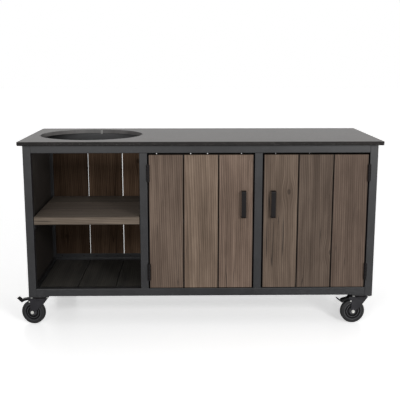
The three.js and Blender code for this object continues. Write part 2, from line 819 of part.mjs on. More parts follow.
function addBoards() {
  const spans = boardSpans();
  const y = rearInnerY + rearAngleThickness;
  const z0 = openingBottom + rearAngleThickness;
  const z1 = openingTop - rearAngleThickness;
  spans.forEach(([left, right], index) => {
    const low = [left, y, z0];
    const high = [right, y + boardThickness, z1 - boardEndClearance];
    piece(table, `rear_board_${index + 1}`, board("z", low, high), darkWood);
  });
  spans.slice(0, looseFloorBoards).forEach((span, index) => {
    piece(table, `floor_board_${index + 1}`, floorBoard(span), blackWood);
  });
  piece(table, "floor_deck_cupboard", floorDeck(spans.slice(looseFloorBoards)), blackWood);
  const left = -innerEndX + shelfSideClearance;
  const right = shelfStileX - shelfSideClearance;
  for (let index = 0; index < shelfBoardCount; index += 1) {
    const front = frontY + index * (shelfBoardDepth + shelfBoardGap);
    const low = [left, front, shelfTop - shelfBoardThickness];
    const high = [right, front + shelfBoardDepth, shelfTop];
    piece(table, `shelf_board_${index + 1}`, board("x", low, high), greyBrownWood);
  }
}

function addPanels() {
  const sideFace = innerEndX + sidePanelRecess;
  const ends = [frontInnerY, rearInnerY, openingBottom, openingTop];
  piece(table, "side_panel_left", panel(-sideFace, -1, ...ends), coatedSteel);
  piece(table, "side_panel_right", panel(sideFace, 1, ...ends), coatedSteel);
  const dividerFace = shelfStileX + dividerRecess;
  const divider = panel(dividerFace, 1, frontInnerY, postFrontY, floorTop, openingTop);
  piece(table, "divider_panel", divider, coatedSteel);
}

piece(table, "worktop_slab", worktopSlab(), stone);
piece(table, "cutout_liner", cutoutLiner(), rawSteel);
piece(table, "front_frame", frontFrame(), coatedSteel);
piece(table, "rear_frame", rearFrame(), coatedSteel);
piece(table, "left_end_frame", endFrame(-1), coatedSteel);
piece(table, "right_end_frame", endFrame(1), coatedSteel);
addPanels();
addBoards();
addDoors();
piece(table, "door_catch", doorCatch(), blackSteel);
addCasters();

export default table;
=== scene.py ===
"""Kamado grill table: welded charcoal frame, honed stone top, weathered boards and braked casters.

Metres, +Z up, the doors face -Y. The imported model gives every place; this script gives the looks.
"""

import math

import bpy
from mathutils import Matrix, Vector


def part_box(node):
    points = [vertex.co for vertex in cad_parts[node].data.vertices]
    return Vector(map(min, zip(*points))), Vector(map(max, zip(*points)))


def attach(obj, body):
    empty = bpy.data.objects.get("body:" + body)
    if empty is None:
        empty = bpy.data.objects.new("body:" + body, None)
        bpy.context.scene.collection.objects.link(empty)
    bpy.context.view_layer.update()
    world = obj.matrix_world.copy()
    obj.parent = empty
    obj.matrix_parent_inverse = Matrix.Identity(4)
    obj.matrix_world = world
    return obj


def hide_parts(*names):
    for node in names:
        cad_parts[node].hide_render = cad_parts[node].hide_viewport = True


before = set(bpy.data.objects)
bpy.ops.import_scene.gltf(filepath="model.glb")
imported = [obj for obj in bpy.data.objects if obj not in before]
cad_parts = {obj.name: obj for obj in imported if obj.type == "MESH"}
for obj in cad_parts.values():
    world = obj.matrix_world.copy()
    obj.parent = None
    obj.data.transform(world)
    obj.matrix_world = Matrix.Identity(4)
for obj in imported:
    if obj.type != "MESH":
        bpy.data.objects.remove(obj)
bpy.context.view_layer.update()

MM = 0.001

# Places this close together are the same, and a direction with this share along an axis runs along it.
NEAR = 0.01 * MM
ALONG = 0.999

# Faces that meet at less than this angle are shaded as one curved surface.
SMOOTH_ANGLE = math.radians(38)

# How far a cutter reaches past the piece that it cuts
OVERRUN = 10 * MM

# Width in millimetres, segments and least angle in degrees of the arris on each kind of piece
ARRISES = {
    "slab": (1.4, 3, 30),
    "liner": (0.5, 2, 40),
    "lip": (0.8, 2, 40),
    "bearer": (0.5, 2, 30),
    "flat": (0.6, 2, 30),
    "rear_leg": (0.8, 3, 30),
    "gusset": (0.8, 2, 30),
    "pan": (0.7, 2, 30),
    "plank": (0.5, 2, 60),
    "batten": (0.8, 2, 30),
    "handle": (0.7, 3, 40),
    "leaf": (0.4, 2, 30),
    "knuckle": (0.5, 2, 50),
    "pin_end": (0.9, 3, 50),
    "magnet": (1.2, 3, 30),
    "fork_head": (0.8, 3, 30),
    "fork_leg": (0.7, 2, 40),
    "pin": (0.6, 2, 30),
    "washer": (0.3, 2, 30),
    "hexagon": (0.7, 2, 20),
    "nut": (0.9, 2, 20),
    "rivet": (0.9, 3, 50),
    "pedal": (0.9, 3, 25),
    "rib": (0.4, 2, 50),
}

# Sizes of the worktop and of the liner in its cut-out
SLAB_CHAMFER = 3.5 * MM
HONED_SLANT = 0.5
LINER_GAP = 0.5 * MM
LINER_WALL = 3 * MM
LINER_SIDES = 192
SEAM_ANGLE = math.radians(85)
SEAM_WIDTH = 2 * MM
LIP_DEPTH = 3 * MM
LIP_WIDTH = 4.2 * MM
LIP_INSET = 4.4 * MM
LIP_OFFSET = 3.2 * MM
LIP_LOW = 933 * MM
LIP_DROP = 2 * MM

# Sizes of the welded frame
TUBE = 40 * MM
TUBE_RADIUS = 3 * MM
REAR_ANGLE_LEG = 25 * MM
BEARER_LEG = 30 * MM
ANGLE_WALL = 3 * MM
LEDGE_WIDTH = 30 * MM
LEDGE_THICKNESS = 5 * MM
BEARER_SETBACK = 20 * MM
GUSSET_THICKNESS = 5 * MM
GUSSET_DEPTH = 92.5 * MM
GUSSET_LENGTH = 100 * MM
SHEET = 2 * MM
BAYS = 3

# Sizes of the boards
BAY_BOARDS = 3
REAR_ARRIS = 0.8 * MM
FLOOR_ARRIS = 1.8 * MM
DOOR_ARRIS = 2.4 * MM
SHELF_ARRIS = 4 * MM
SWELLING = Vector((0.5 * MM, 0, 0))
NOTCH_GAP = 1 * MM
BATTEN_WIDTH = 60 * MM
BATTEN_INSET = 90 * MM

# A board's seed is its number times the step of its kind. The seed picks the board's grain and hue.
SEED_STEPS = {
    "rear": 0.137,
    "floor": 0.211,
    "deck": 0.173,
    "shelf": 0.291,
    "left_door": 0.317,
    "right_door": 0.463,
}
BATTEN_SEED = 0.4

# How light each board is against the others of its wood, from left to right and the shelf from the front.
# On the rear boards this is painted light and shade, darker at the left of the open bay and lighter at its
# right; on the shelf it is painted shade that darkens the boards towards the rear and the front board on
# top; on the doors it is the boards' own tone.
REAR_LIGHT_AND_SHADE = (0.42, 0.86, 1.4, 1.0, 1.0, 1.0, 1.0, 1.0, 1.0)
SHELF_SHADES = (0.86, 0.5, 0.4)
DOOR_TONES = {"left": (0.72, 1.04, 0.98), "right": (0.76, 0.58, 0.75)}
SHELF_TOP_SHADE = 0.72

# Painted shade on the narrow sides of the rear and door boards, where the gaps between them fall dark, and
# the least slant of their faces
SIDE_SHADE = 0.3
ASLANT = 0.2

# Sizes of the doors and their fittings
DOOR_TUBE = 20 * MM
DOOR_TUBE_RADIUS = 1.5 * MM
DOOR_GAP = 6.5 * MM
HINGE_LENGTH = 85 * MM
HINGE_CLEARANCE = 0.7 * MM
KNUCKLE = 8 * MM
KNUCKLES = 5
KNUCKLE_GAP = 0.5 * MM
PIN_END_RADIUS = 4.5 * MM
PIN_END_ROOT = 1 * MM
PIN_END_HEIGHT = 1.6 * MM
LEAF = 2.5 * MM
LEAF_DEPTH = 34 * MM
HANDLE_REACH = 30 * MM
HANDLE_STRIP = 5 * MM
HANDLE_BEND = 8 * MM
CATCH_PLATE = 3.5 * MM
MAGNET_WIDTH = 19.25 * MM
MAGNET_SETBACK = 0.1 * MM
SCREW_RADIUS = 3.6 * MM
SCREW_HEAD = 1.8 * MM
REAR_SCREW_INSET = 35 * MM
DOOR_SCREW_INSET = 38 * MM
SCREW_CLEARANCE = 4 * MM

# Sizes of the casters, with the swivel axis at zero and the wheel trailing towards -X
WHEEL = 62.5 * MM
TRAIL = 40 * MM
TYRE_WIDTH = 30 * MM
TYRE_SHOULDER = 6.5 * MM
CORE_RADIUS = 47 * MM
RECESS_RADIUS = 41.9 * MM
RECESS_HALF = 11 * MM
LEG_INNER = 17 * MM
LEG_OUTER = 20 * MM
LEG_END = 11 * MM
LEG_WAIST = 47 * MM
EAR_RADIUS = 9 * MM
EAR_DROP = 20 * MM
PIVOT_RADIUS = 3 * MM
PIVOT_END = 1.5 * MM
AXLE_RADIUS = 4 * MM
AXLE_BOLT_END = 7.4 * MM
AXLE_NUT_END = 3 * MM
PEDAL_EYE = 6 * MM
PEDAL_HALF = 15 * MM
RIB_RADIUS = 1.1 * MM
RIB_HALF = 12.5 * MM
RIB_SHARES = (0.2, 0.45, 0.7)
HEAD_RADIUS = 36 * MM
HEAD_LOW = 137 * MM
HEAD_HIGH = 143 * MM
CUP_RADIUS = 37 * MM
CUP_LAP = 1 * MM
CUP_ARRIS = 0.8 * MM
PLATE_LOW = 153 * MM
PLATE_HIGH = 157 * MM
PLATE_CORNER = 8 * MM
PLATE_HALF_LENGTH = 50 * MM
PLATE_HALF_WIDTH = 42.5 * MM
BOLT_X = 40 * MM
BOLT_Y = 30 * MM
BOLT_RADIUS = 6.9 * MM
BOLT_HEAD = 5 * MM
WASHER_RADIUS = 8 * MM
WASHER = 1.3 * MM
WASHER_LAP = 0.1 * MM
NUT_RADIUS = 11 * MM
NUT_LOW = HEAD_LOW - 8 * MM
NUT_HIGH = HEAD_LOW - 1 * MM
KINGPIN_RADIUS = 7 * MM
KINGPIN_LOW = HEAD_LOW - 8.6 * MM

# How far each caster is turned about its swivel axis
TURNS = {
    "front_left": math.radians(-13),
    "front_right": math.radians(5),
    "rear_left": math.radians(185),
    "rear_right": math.radians(167),
}

# Places on a caster, as millimetres over the tyre and degrees round the axle
PEDAL_PIVOT = (9.8, 103)
EAR_RIVET = (-3.8, 104)
SOLE_FRONT = (5, 112)
SOLE_REAR = (13.2, 141)
BLADE_TIP_LOW = (47.8, 141.2)
BLADE_TIP_HIGH = (47.8, 139)
BLADE_ROOT = (22.5, 137.9)
PEDAL_BACK = (26, 132.7)
SOLE_STEPS = 12

# Radius, start and end out of the fork's leg in millimetres, and sides of what is fixed through it
LEG_FITTINGS = {"hexagon": (7.8, 1, 6, 6), "washer": (8.6, 0, 1.2, 32), "rivet": (3.6, -0.5, 2, 20)}

# Stepped faces from the edge inwards, each step a width and a height in millimetres
TYRE_STEPS = ((8.5, 0.6), (0.8, -1.8), (0.8, 0), (0.8, 1.6))
RIM_STEPS = ((2.5, 0), (1.8, -6.4), (7.0, 0), (1.2, 2.6), (3.0, 0), (1.2, -3.0))
HUB_STEPS = ((8.2, 0), (2.5, 6), (1.2, 1.6))
HEAD_STEPS = ((5, 0), (2, -1.5), (8, 0), (1.5, 1.5))
CUP_STEPS = ((4, 0), (1, -2))
SCREW_STEPS = ((1.1, 0.5), (0.9, 0), (0.1, -1.1))

# Places of the slab, the liner and the welded frame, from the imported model
slab_low, slab_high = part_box("worktop_slab")
liner_low, liner_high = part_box("cutout_liner")
liner_middle = (liner_low + liner_high) / 2
liner_radius = (liner_high.x - liner_low.x) / 2
front_low, front_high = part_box("front_frame")
left_low, left_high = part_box("left_end_frame")
END = -left_low.x
INNER = front_high.x
FRONT = front_low.y
FRONT_INNER = FRONT + TUBE
REAR = left_high.y
REAR_INNER = REAR - TUBE
BOTTOM = front_low.z
TOP = front_high.z
LEDGE_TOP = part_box("floor_board_1")[0].z
BEARER_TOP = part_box("shelf_board_1")[0].z
BAY = (2 * END - (BAYS + 1) * TUBE) / BAYS
STILES = [-END + number * (BAY + TUBE) for number in (1, 2)]


# Working on one piece at a time
def take(*pieces):
    """Selects only these pieces; the first one is the active one."""
    bpy.ops.object.select_all(action="DESELECT")
    for piece in pieces:
        piece.select_set(True)
    bpy.context.view_layer.objects.active = pieces[0]


def rename(piece, name):
    piece.name = name
    piece.data.name = name


def settle(piece):
    """Puts the piece's place, turn and scale into its mesh."""
    take(piece)
    bpy.ops.object.transform_apply(location=True, rotation=True, scale=True)
    return piece


def fresh(name):
    """Names and settles the piece that was just added."""
    piece = bpy.context.object
    rename(piece, name)
    return settle(piece)


def add_block(name, low, high):
    middle = [(a + b) / 2 for a, b in zip(low, high)]
    size = [abs(b - a) for a, b in zip(low, high)]
    bpy.ops.mesh.primitive_cube_add(size=1, location=middle, scale=size)
    return fresh(name)


def add_round(name, radius, start, end, axis="Z", at=(0, 0), sides=32):
    """A round bar from start to end along Z or Y; at is its place in the other two axes."""
    middle = (start + end) / 2
    turn = {"Y": (math.pi / 2, 0, 0), "Z": (0, 0, 0)}[axis]
    place = {"Y": (at[0], middle, at[1]), "Z": (*at, middle)}[axis]
    bpy.ops.mesh.primitive_cylinder_add(
        vertices=sides, radius=radius, depth=end - start, location=place, rotation=turn
    )
    return fresh(name)


class Picked:
    """Edit mode with only those faces or edges selected that pass a test of their place."""

    def __init__(self, piece, kind, test):
        self.piece = piece
        self.kind = kind
        self.test = test

    def __enter__(self):
        take(self.piece)
        bpy.ops.object.mode_set(mode="EDIT")
        bpy.ops.mesh.select_mode(type=self.kind)
        bpy.ops.mesh.select_all(action="DESELECT")
        bpy.ops.object.mode_set(mode="OBJECT")
        mesh = self.piece.data
        if self.kind == "FACE":
            for face in mesh.polygons:
                face.select = self.test(face.center, face.normal)
        else:
            for edge in mesh.edges:
                a, b = (mesh.vertices[corner].co for corner in edge.vertices)
                edge.select = self.test(a, b)
        bpy.ops.object.mode_set(mode="EDIT")

    def __exit__(self, *error):
        bpy.ops.object.mode_set(mode="OBJECT")


def faces(piece, test):
    return Picked(piece, "FACE", test)


def edges(piece, test):
    return Picked(piece, "EDGE", test)


def runs_along(axis):
    """A test for edges that run along an axis."""
    return lambda a, b: abs((b - a).normalized()[axis]) > ALONG


def is_level(axis):
    """A test for edges whose ends are at the same place in an axis."""
    return lambda a, b: abs(a[axis] - b[axis]) < NEAR


def looks(axis, *ways):
    """A test for faces that look up an axis (1), down it (-1) or either way."""
    return lambda centre, normal: any(normal[axis] * way > ALONG for way in ways)


def round_off(piece, width, segments, test):
    """Bevels the edges that pass the test."""
    with edges(piece, test):
        bpy.ops.mesh.bevel(offset=width, segments=segments, affect="EDGES")


def step_in(piece, test, *steps):
    """Insets the faces that pass the test, once for each step of a width and a height in millimetres."""
    with faces(piece, test):
        for width, height in steps:
            bpy.ops.mesh.inset(thickness=width * MM, depth=height * MM)


def paint(piece, slot, test):
    """Gives the faces that pass the test the material in one of the piece's slots."""
    with faces(piece, test):
        piece.active_material_index = slot
        bpy.ops.object.material_slot_assign()


def soften(piece, kind):
    """Gives every sharp edge the arris of this kind of piece."""
    width, segments, angle = ARRISES[kind]
    take(piece)
    bpy.ops.object.modifier_add(type="BEVEL")
    bevel = piece.modifiers[-1]
    bevel.width = width * MM
    bevel.segments = segments
    bevel.limit_method = "ANGLE"
    bevel.angle_limit = math.radians(angle)
    bpy.ops.object.modifier_apply(modifier=bevel.name)
    return piece


def cut_away(piece, *tools):
    """Cuts the tools' shapes out of the piece."""
    for tool in tools:
        take(piece)
        bpy.ops.object.modifier_add(type="BOOLEAN")
        cut = piece.modifiers[-1]
        cut.operation = "DIFFERENCE"
        cut.object = tool
        bpy.ops.object.modifier_apply(modifier=cut.name)
        bpy.data.objects.remove(tool)
    return piece


def joined(name, parts):
    """One piece from several that are fixed to each other."""
    take(*parts)
    bpy.ops.object.join()
    rename(parts[0], name)
    return parts[0]


def copy_of(piece, name, move, turn):
    """A copy with its own mesh, turned about Z and then moved."""
    twin = piece.copy()
    twin.data = piece.data.copy()
    rename(twin, name)
    bpy.context.collection.objects.link(twin)
    twin.rotation_euler.z = turn
    twin.location = move
    return settle(twin)


def smooth(piece):
    """Rounds the look of curved faces and keeps flat ones flat."""
    take(piece)
    bpy.ops.object.shade_smooth_by_angle(angle=SMOOTH_ANGLE)
    bpy.ops.object.modifier_add(type="WEIGHTED_NORMAL")
    even = piece.modifiers[-1]
    even.keep_sharp = True
    bpy.ops.object.modifier_apply(modifier=even.name)


def finish(piece, material, body, slot, *nodes):
    """Gives the piece its material, its body and the nodes that it stands for."""
    smooth(piece)
    if material is not None:
        piece.data.materials.clear()
        piece.data.materials.append(material)
    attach(piece, body)
    if nodes:
        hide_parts(*nodes)


# Shapes that recur
def tube(axis, low, high, radius=TUBE_RADIUS, segments=4):
    """A square tube with rounded corners; axis is 0, 1 or 2."""
    piece = add_block("tube", low, high)
    round_off(piece, radius, segments, runs_along(axis))
    return piece


def arc(x, y, radius, start, end, steps=12):
    """Points on an arc between two angles in degrees."""
    angles = [math.radians(start + (end - start) * step / steps) for step in range(steps + 1)]
    return [(x + radius * math.cos(angle), y + radius * math.sin(angle)) for angle in angles]


def cut_plate(name, outline, low, high, plane="XZ"):
    """A plate cut to an outline in a plane, from low to high across that plane."""
    bpy.ops.object.select_all(action="DESELECT")
    bpy.ops.curve.primitive_bezier_curve_add()
    curve = bpy.context.object
    curve.data.splines.clear()
    curve.data.dimensions = "2D"
    curve.data.fill_mode = "BOTH"
    curve.data.extrude = (high - low) / 2
    line = curve.data.splines.new("POLY")
    line.points.add(len(outline) - 1)
    for point, (a, b) in zip(line.points, outline):
        point.co = (a, b, 0, 1)
    line.use_cyclic_u = True
    bpy.ops.object.convert(target="MESH")
    middle = (low + high) / 2
    piece = bpy.context.object
    piece.rotation_euler, piece.location = {
        "XZ": ((math.pi / 2, 0, 0), (0, middle, 0)),
        "YZ": ((math.pi / 2, 0, math.pi / 2), (middle, 0, 0)),
        "XY": ((0, 0, 0), (0, 0, middle)),
    }[plane]
    fresh(name)
    bpy.ops.object.mode_set(mode="EDIT")
    bpy.ops.mesh.select_all(action="SELECT")
    bpy.ops.mesh.remove_doubles(threshold=NEAR)
    bpy.ops.mesh.dissolve_limited(angle_limit=math.radians(1))
    bpy.ops.mesh.normals_make_consistent(inside=False)
    bpy.ops.object.mode_set(mode="OBJECT")
    return piece


# Building node trees
def srgb(red, green, blue):
    """A colour given as 0-255 screen values, in the linear values that the nodes take."""

    def line(value):
        share = value / 255
        return share / 12.92 if share <= 0.04045 else ((share + 0.055) / 1.055) ** 2.4

    return (line(red), line(green), line(blue), 1.0)


def shaded(colour, share):
    """The colour made darker or lighter."""
    return (*(part * share for part in colour[:3]), 1.0)


def put(tree, kind, inputs=None, **settings):
    """Adds a node; inputs maps sockets to values or to the sockets that feed them."""
    new = tree.nodes.new(kind)
    for key, value in settings.items():
        setattr(new, key, value)
    for key, value in (inputs or {}).items():
        if isinstance(value, bpy.types.NodeSocket):
            tree.links.new(value, new.inputs[key])
        else:
            new.inputs[key].default_value = value
    return new


def calc(tree, operation, a, b=0.0, c=0.0):
    return put(tree, "ShaderNodeMath", {0: a, 1: b, 2: c}, operation=operation).outputs[0]


def times(tree, a, b):
    return calc(tree, "MULTIPLY", a, b)


def weighted(tree, *terms):
    """The sum of some values, each times its weight."""
    total = 0.0
    for value, weight in terms:
        total = calc(tree, "MULTIPLY_ADD", value, weight, total)
    return total


def spread(tree, value, from_low, from_high, to_low=0.0, to_high=1.0, kind="SMOOTHSTEP"):
    """Takes a range of the value to another range, the ends rounded off unless the kind is LINEAR."""
    inputs = {0: value, 1: from_low, 2: from_high, 3: to_low, 4: to_high}
    return put(tree, "ShaderNodeMapRange", inputs, interpolation_type=kind).outputs["Result"]


def blend(tree, share, a, b):
    """Colour a where share is 0 and colour b where it is 1."""
    return put(tree, "ShaderNodeMix", {0: share, 6: a, 7: b}, data_type="RGBA").outputs[2]


def noise(tree, vector, scale, detail=2.0, roughness=0.5):
    """A cloudy pattern from 0 to 1; scale says how many clouds go to a metre."""
    inputs = {"Vector": vector, "Scale": scale, "Detail": detail, "Roughness": roughness}
    return put(tree, "ShaderNodeTexNoise", inputs).outputs["Fac"]


def split(tree, vector):
    return put(tree, "ShaderNodeSeparateXYZ", {0: vector}).outputs


def combine(tree, x, y, z=0.0):
    return put(tree, "ShaderNodeCombineXYZ", {0: x, 1: y, 2: z}).outputs[0]


def drawn_out(tree, vector, share):
    """The same place with Z made smaller by a share, so that a pattern is drawn out along Z."""
    return put(tree, "ShaderNodeVectorMath", {0: vector, 1: (1, 1, share)}, operation="MULTIPLY").outputs[0]


def ramp(tree, value, *stops):
    node = put(tree, "ShaderNodeValToRGB", {"Fac": value})
    line = node.color_ramp
    while len(line.elements) < len(stops):
        line.elements.new(0.5)
    for element, (place, colour) in zip(line.elements, stops):
        element.position = place
        element.color = colour
    return node.outputs["Color"]


def attribute(tree, name):
    return put(tree, "ShaderNodeAttribute", attribute_name=name).outputs["Fac"]


def new_group(name, *inputs):
    """A node group that takes a place and some values; gives the group and the sockets to read them."""
    group = bpy.data.node_groups.new(name, "ShaderNodeTree")
    group.interface.new_socket("Place", in_out="INPUT", socket_type="NodeSocketVector")
    for label in inputs:
        group.interface.new_socket(label, in_out="INPUT", socket_type="NodeSocketFloat")
    return group, group.nodes.new("NodeGroupInput").outputs


def give(group, **values):
    """Makes an output of the group for each of these values."""
    for label in values:
        group.interface.new_socket(label, in_out="OUTPUT", socket_type="NodeSocketFloat")
    result = group.nodes.new("NodeGroupOutput").inputs
    for label, value in values.items():
        group.links.new(value, result[label])
    return group


def use_group(tree, group, **inputs):
    """Places a group; its inputs are named as its sockets are, with _ for a space."""
    named = {label.replace("_", " "): value for label, value in inputs.items()}
    return put(tree, "ShaderNodeGroup", named, node_tree=group).outputs


def new_material(name, **values):
    """A material with a Principled shader; values set its plain sockets."""
    material = bpy.data.materials.new(name)
    material.use_nodes = True
    tree = material.node_tree
    tree.nodes.clear()
    named = {label.replace("_", " "): value for label, value in values.items()}
    shader = put(tree, "ShaderNodeBsdfPrincipled", named)
    put(tree, "ShaderNodeOutputMaterial", {0: shader.outputs[0]})
    return material, tree, shader


def object_place(tree):
    return tree.nodes.new("ShaderNodeTexCoord").outputs["Object"]


def feed(tree, shader, colour, roughness, relief, depth, strength=0.5):
    """Links what varies over the surface to the shader."""
    tree.links.new(colour, shader.inputs["Base Color"])
    tree.links.new(roughness, shader.inputs["Roughness"])
    bump = put(tree, "ShaderNodeBump", {"Height": relief, "Strength": strength, "Distance": depth})
    tree.links.new(bump.outputs["Normal"], shader.inputs["Normal"])


# How far apart two boards with seeds one apart lie in the pattern: across, through and along the wood
BOARD_SHIFT = (7.3, 3.1, 11.7)

# Knots: cells to a metre across the wood, and their share of that along it
KNOT_CELLS = 5.0
KNOT_STRETCH = 0.6

# How far the grain waves, in metres
WAVE = 0.02

# Year rings: how many to a metre, how many a wave of a metre would shift them, and how sharply each ends
YEAR_RINGS = 95.0
RING_WAVE = 40.0
RING_END = 1.7

# Their pith lies within this width about the pattern's middle, behind it by the root of the next value, and
# moves sideways by the last one for each metre of the board.
PITH_WIDTH = 160 * MM
PITH_BEHIND_SQUARED = 0.0012
PITH_SLANT = 0.03


def own_share(tree, board, factor):
    """A value from 0 to 1 that jumps about from board to board."""
    return calc(tree, "FRACT", times(tree, board, factor))


# Wood grain, shared by all the boards. X is across the board, Y through it and Z along it.
def make_wood_grain():
    tree, given = new_group("wood_grain", "Board", "Knot Share")
    board = given["Board"]
    shift = combine(tree, *(times(tree, board, distance) for distance in BOARD_SHIFT))
    own = put(tree, "ShaderNodeVectorMath", {0: given["Place"], 1: shift}, operation="ADD").outputs[0]
    parts = split(tree, own)

    # A knot sits somewhere in each cell, but only some of the cells keep theirs.
    flat = combine(tree, parts["X"], times(tree, parts["Z"], KNOT_STRETCH))
    cells = put(
        tree, "ShaderNodeTexVoronoi", {"Vector": flat, "Scale": KNOT_CELLS}, voronoi_dimensions="2D"
    ).outputs
    chance = put(tree, "ShaderNodeSeparateColor", {0: cells["Color"]}).outputs[0]
    kept = calc(tree, "LESS_THAN", chance, given["Knot Share"])
    knot = times(tree, spread(tree, cells["Distance"], 0.03, 0.055, 1.0, 0.0), kept)
    pull = times(tree, spread(tree, cells["Distance"], 0.0, 0.3, 0.75, 0.0), kept)
    beside = calc(tree, "SUBTRACT", parts["X"], split(tree, cells["Position"])["X"])

    # The grain waves a little and flows round the knots.
    wave = calc(tree, "MULTIPLY_ADD", noise(tree, drawn_out(tree, own, 0.3), 5.0), WAVE, -WAVE / 2)
    bent = calc(tree, "SUBTRACT", calc(tree, "ADD", parts["X"], wave), times(tree, beside, pull))
    grain = combine(tree, bent, parts["Y"], parts["Z"])
    fibres = noise(tree, drawn_out(tree, grain, 0.02), 430.0, 4.0, 0.65)
    streaks = noise(tree, drawn_out(tree, grain, 0.022), 105.0, 3.0, 0.55)
    bands = noise(tree, drawn_out(tree, grain, 0.07), 24.0)
    patches = noise(tree, drawn_out(tree, own, 0.35), 11.0, 3.0, 0.6)

    # Year rings lie round a pith beside each board.
    aside = calc(tree, "MULTIPLY_ADD", own_share(tree, board, 17.3), PITH_WIDTH, -PITH_WIDTH / 2)
    slant = calc(tree, "MULTIPLY_ADD", split(tree, given["Place"])["Z"], PITH_SLANT, aside)
    across = calc(tree, "ADD", bent, calc(tree, "SUBTRACT", slant, times(tree, board, BOARD_SHIFT[0])))
    distance = calc(tree, "SQRT", calc(tree, "MULTIPLY_ADD", across, across, PITH_BEHIND_SQUARED))
    ring = weighted(tree, (wave, RING_WAVE), (distance, YEAR_RINGS))
    rings = calc(tree, "POWER", calc(tree, "FRACT", ring), RING_END)
    early_wood = calc(tree, "SUBTRACT", 1.0, rings)

    # Fine cracks open along the grain where a slow pattern lets them.
    off_middle = calc(tree, "SUBTRACT", noise(tree, drawn_out(tree, grain, 0.02), 34.0, 1.0), 0.5)
    line = spread(tree, calc(tree, "ABSOLUTE", off_middle), 0.003, 0.009, 1.0, 0.0)
    cracks = times(tree, line, spread(tree, noise(tree, drawn_out(tree, own, 0.4), 7.0), 0.54, 0.6))

    tone_and_shade = ((streaks, 0.22), (fibres, 0.16), (bands, 0.28), (patches, 0.22), (early_wood, 0.12))
    relief = ((fibres, 0.6), (streaks, 0.5), (rings, -0.12), (cracks, -1.2))
    return give(tree, Tone=weighted(tree, *tone_and_shade), Cracks=cracks, Knots=knot, Relief=weighted(tree, *relief))


# Fine texture of a powder coat, shared by the coated steel
def make_coat_texture():
    tree, given = new_group("coat_texture")
    place = given["Place"]
    mottle = noise(tree, place, 11.0, 3.0, 0.6)
    relief = noise(tree, place, 900.0, 2.0, 0.6)
    rub = spread(tree, noise(tree, place, 46.0, 4.0, 0.7), 0.56, 0.72)
    return give(tree, Mottle=mottle, Relief=relief, Rub=rub)


# Dust that settles on what faces up
def make_dust():
    tree, given = new_group("dust", "Amount")
    normal = tree.nodes.new("ShaderNodeNewGeometry").outputs["Normal"]
    facing = spread(tree, split(tree, normal)["Z"], 0.6, 0.95)
    patches = spread(tree, noise(tree, given["Place"], 21.0, 5.0, 0.65), 0.35, 0.75)
    return give(tree, Cover=times(tree, times(tree, facing, patches), given["Amount"]))


wood_grain = make_wood_grain()
coat_texture = make_coat_texture()
dust = make_dust()

CRACK_BROWN = srgb(28, 22, 18)
KNOT_BROWN = srgb(38, 28, 21)
RUBBED_GREY = srgb(120, 120, 122)
STEEL_DUST = srgb(140, 134, 126)
STONE_DUST = srgb(150, 145, 138)
DARK_CRYSTAL = srgb(30, 29, 30)
LIGHT_CRYSTAL = srgb(112, 110, 106)


def make_wood(name, dark, middle, light, along="Z", knots=0.35, specular=0.3):
    """Weathered wood; along is the axis in which its boards run."""
    material, tree, shader = new_material(name, Specular_IOR_Level=specular)
    parts = split(tree, object_place(tree))
    first, second, third = {"X": "YZX", "Y": "XZY", "Z": "XYZ"}[along]
    across = parts[first]
    if along == "X":
        # A shelf board shows its grain both on top and on its front edge.
        across = calc(tree, "ADD", across, parts["Z"])
    turned = combine(tree, across, parts[second], parts[third])
    board = attribute(tree, "board")
    grain = use_group(tree, wood_grain, Place=turned, Board=board, Knot_Share=knots)
    colour = ramp(tree, grain["Tone"], (0.38, dark), (0.5, middle), (0.61, light))
    hue = calc(tree, "MULTIPLY_ADD", own_share(tree, board, 29.7), 0.012, 0.494)
    value = calc(tree, "MULTIPLY_ADD", own_share(tree, board, 5.9), 0.1, 0.95)
    # Each face's stored tone: the board's own tone or its painted light and shade, with painted shade on
    # its narrow sides
    value = times(tree, value, attribute(tree, "tone_and_shade"))
    colour = put(tree, "ShaderNodeHueSaturation", {"Hue": hue, "Value": value, "Color": colour}).outputs[0]
    colour = blend(tree, times(tree, grain["Cracks"], 0.75), colour, CRACK_BROWN)
    colour = blend(tree, times(tree, grain["Knots"], 0.6), colour, KNOT_BROWN)
    rough = spread(tree, grain["Tone"], 0.3, 0.7, 0.8, 0.66, "LINEAR")
    feed(tree, shader, colour, rough, grain["Relief"], 0.6 * MM)
    return material


def make_coat(name, colour, roughness, specular, rubbed=0.05):
    """Coated steel: a fine texture, a slow mottle, rubbed spots and a little dust on top."""
    material, tree, shader = new_material(name, Specular_IOR_Level=specular)
    place = object_place(tree)
    coat = use_group(tree, coat_texture, Place=place)
    cover = use_group(tree, dust, Place=place, Amount=0.06)["Cover"]
    base = ramp(tree, coat["Mottle"], (0.35, shaded(colour, 0.82)), (0.65, shaded(colour, 1.2)))
    base = blend(tree, times(tree, coat["Rub"], rubbed), base, RUBBED_GREY)
    base = blend(tree, cover, base, STEEL_DUST)
    rough = calc(tree, "MULTIPLY_ADD", coat["Mottle"], 0.14, roughness - 0.07)
    rough = calc(tree, "MULTIPLY_ADD", cover, 0.4, rough)
    feed(tree, shader, base, rough, coat["Relief"], 0.08 * MM)
    return material


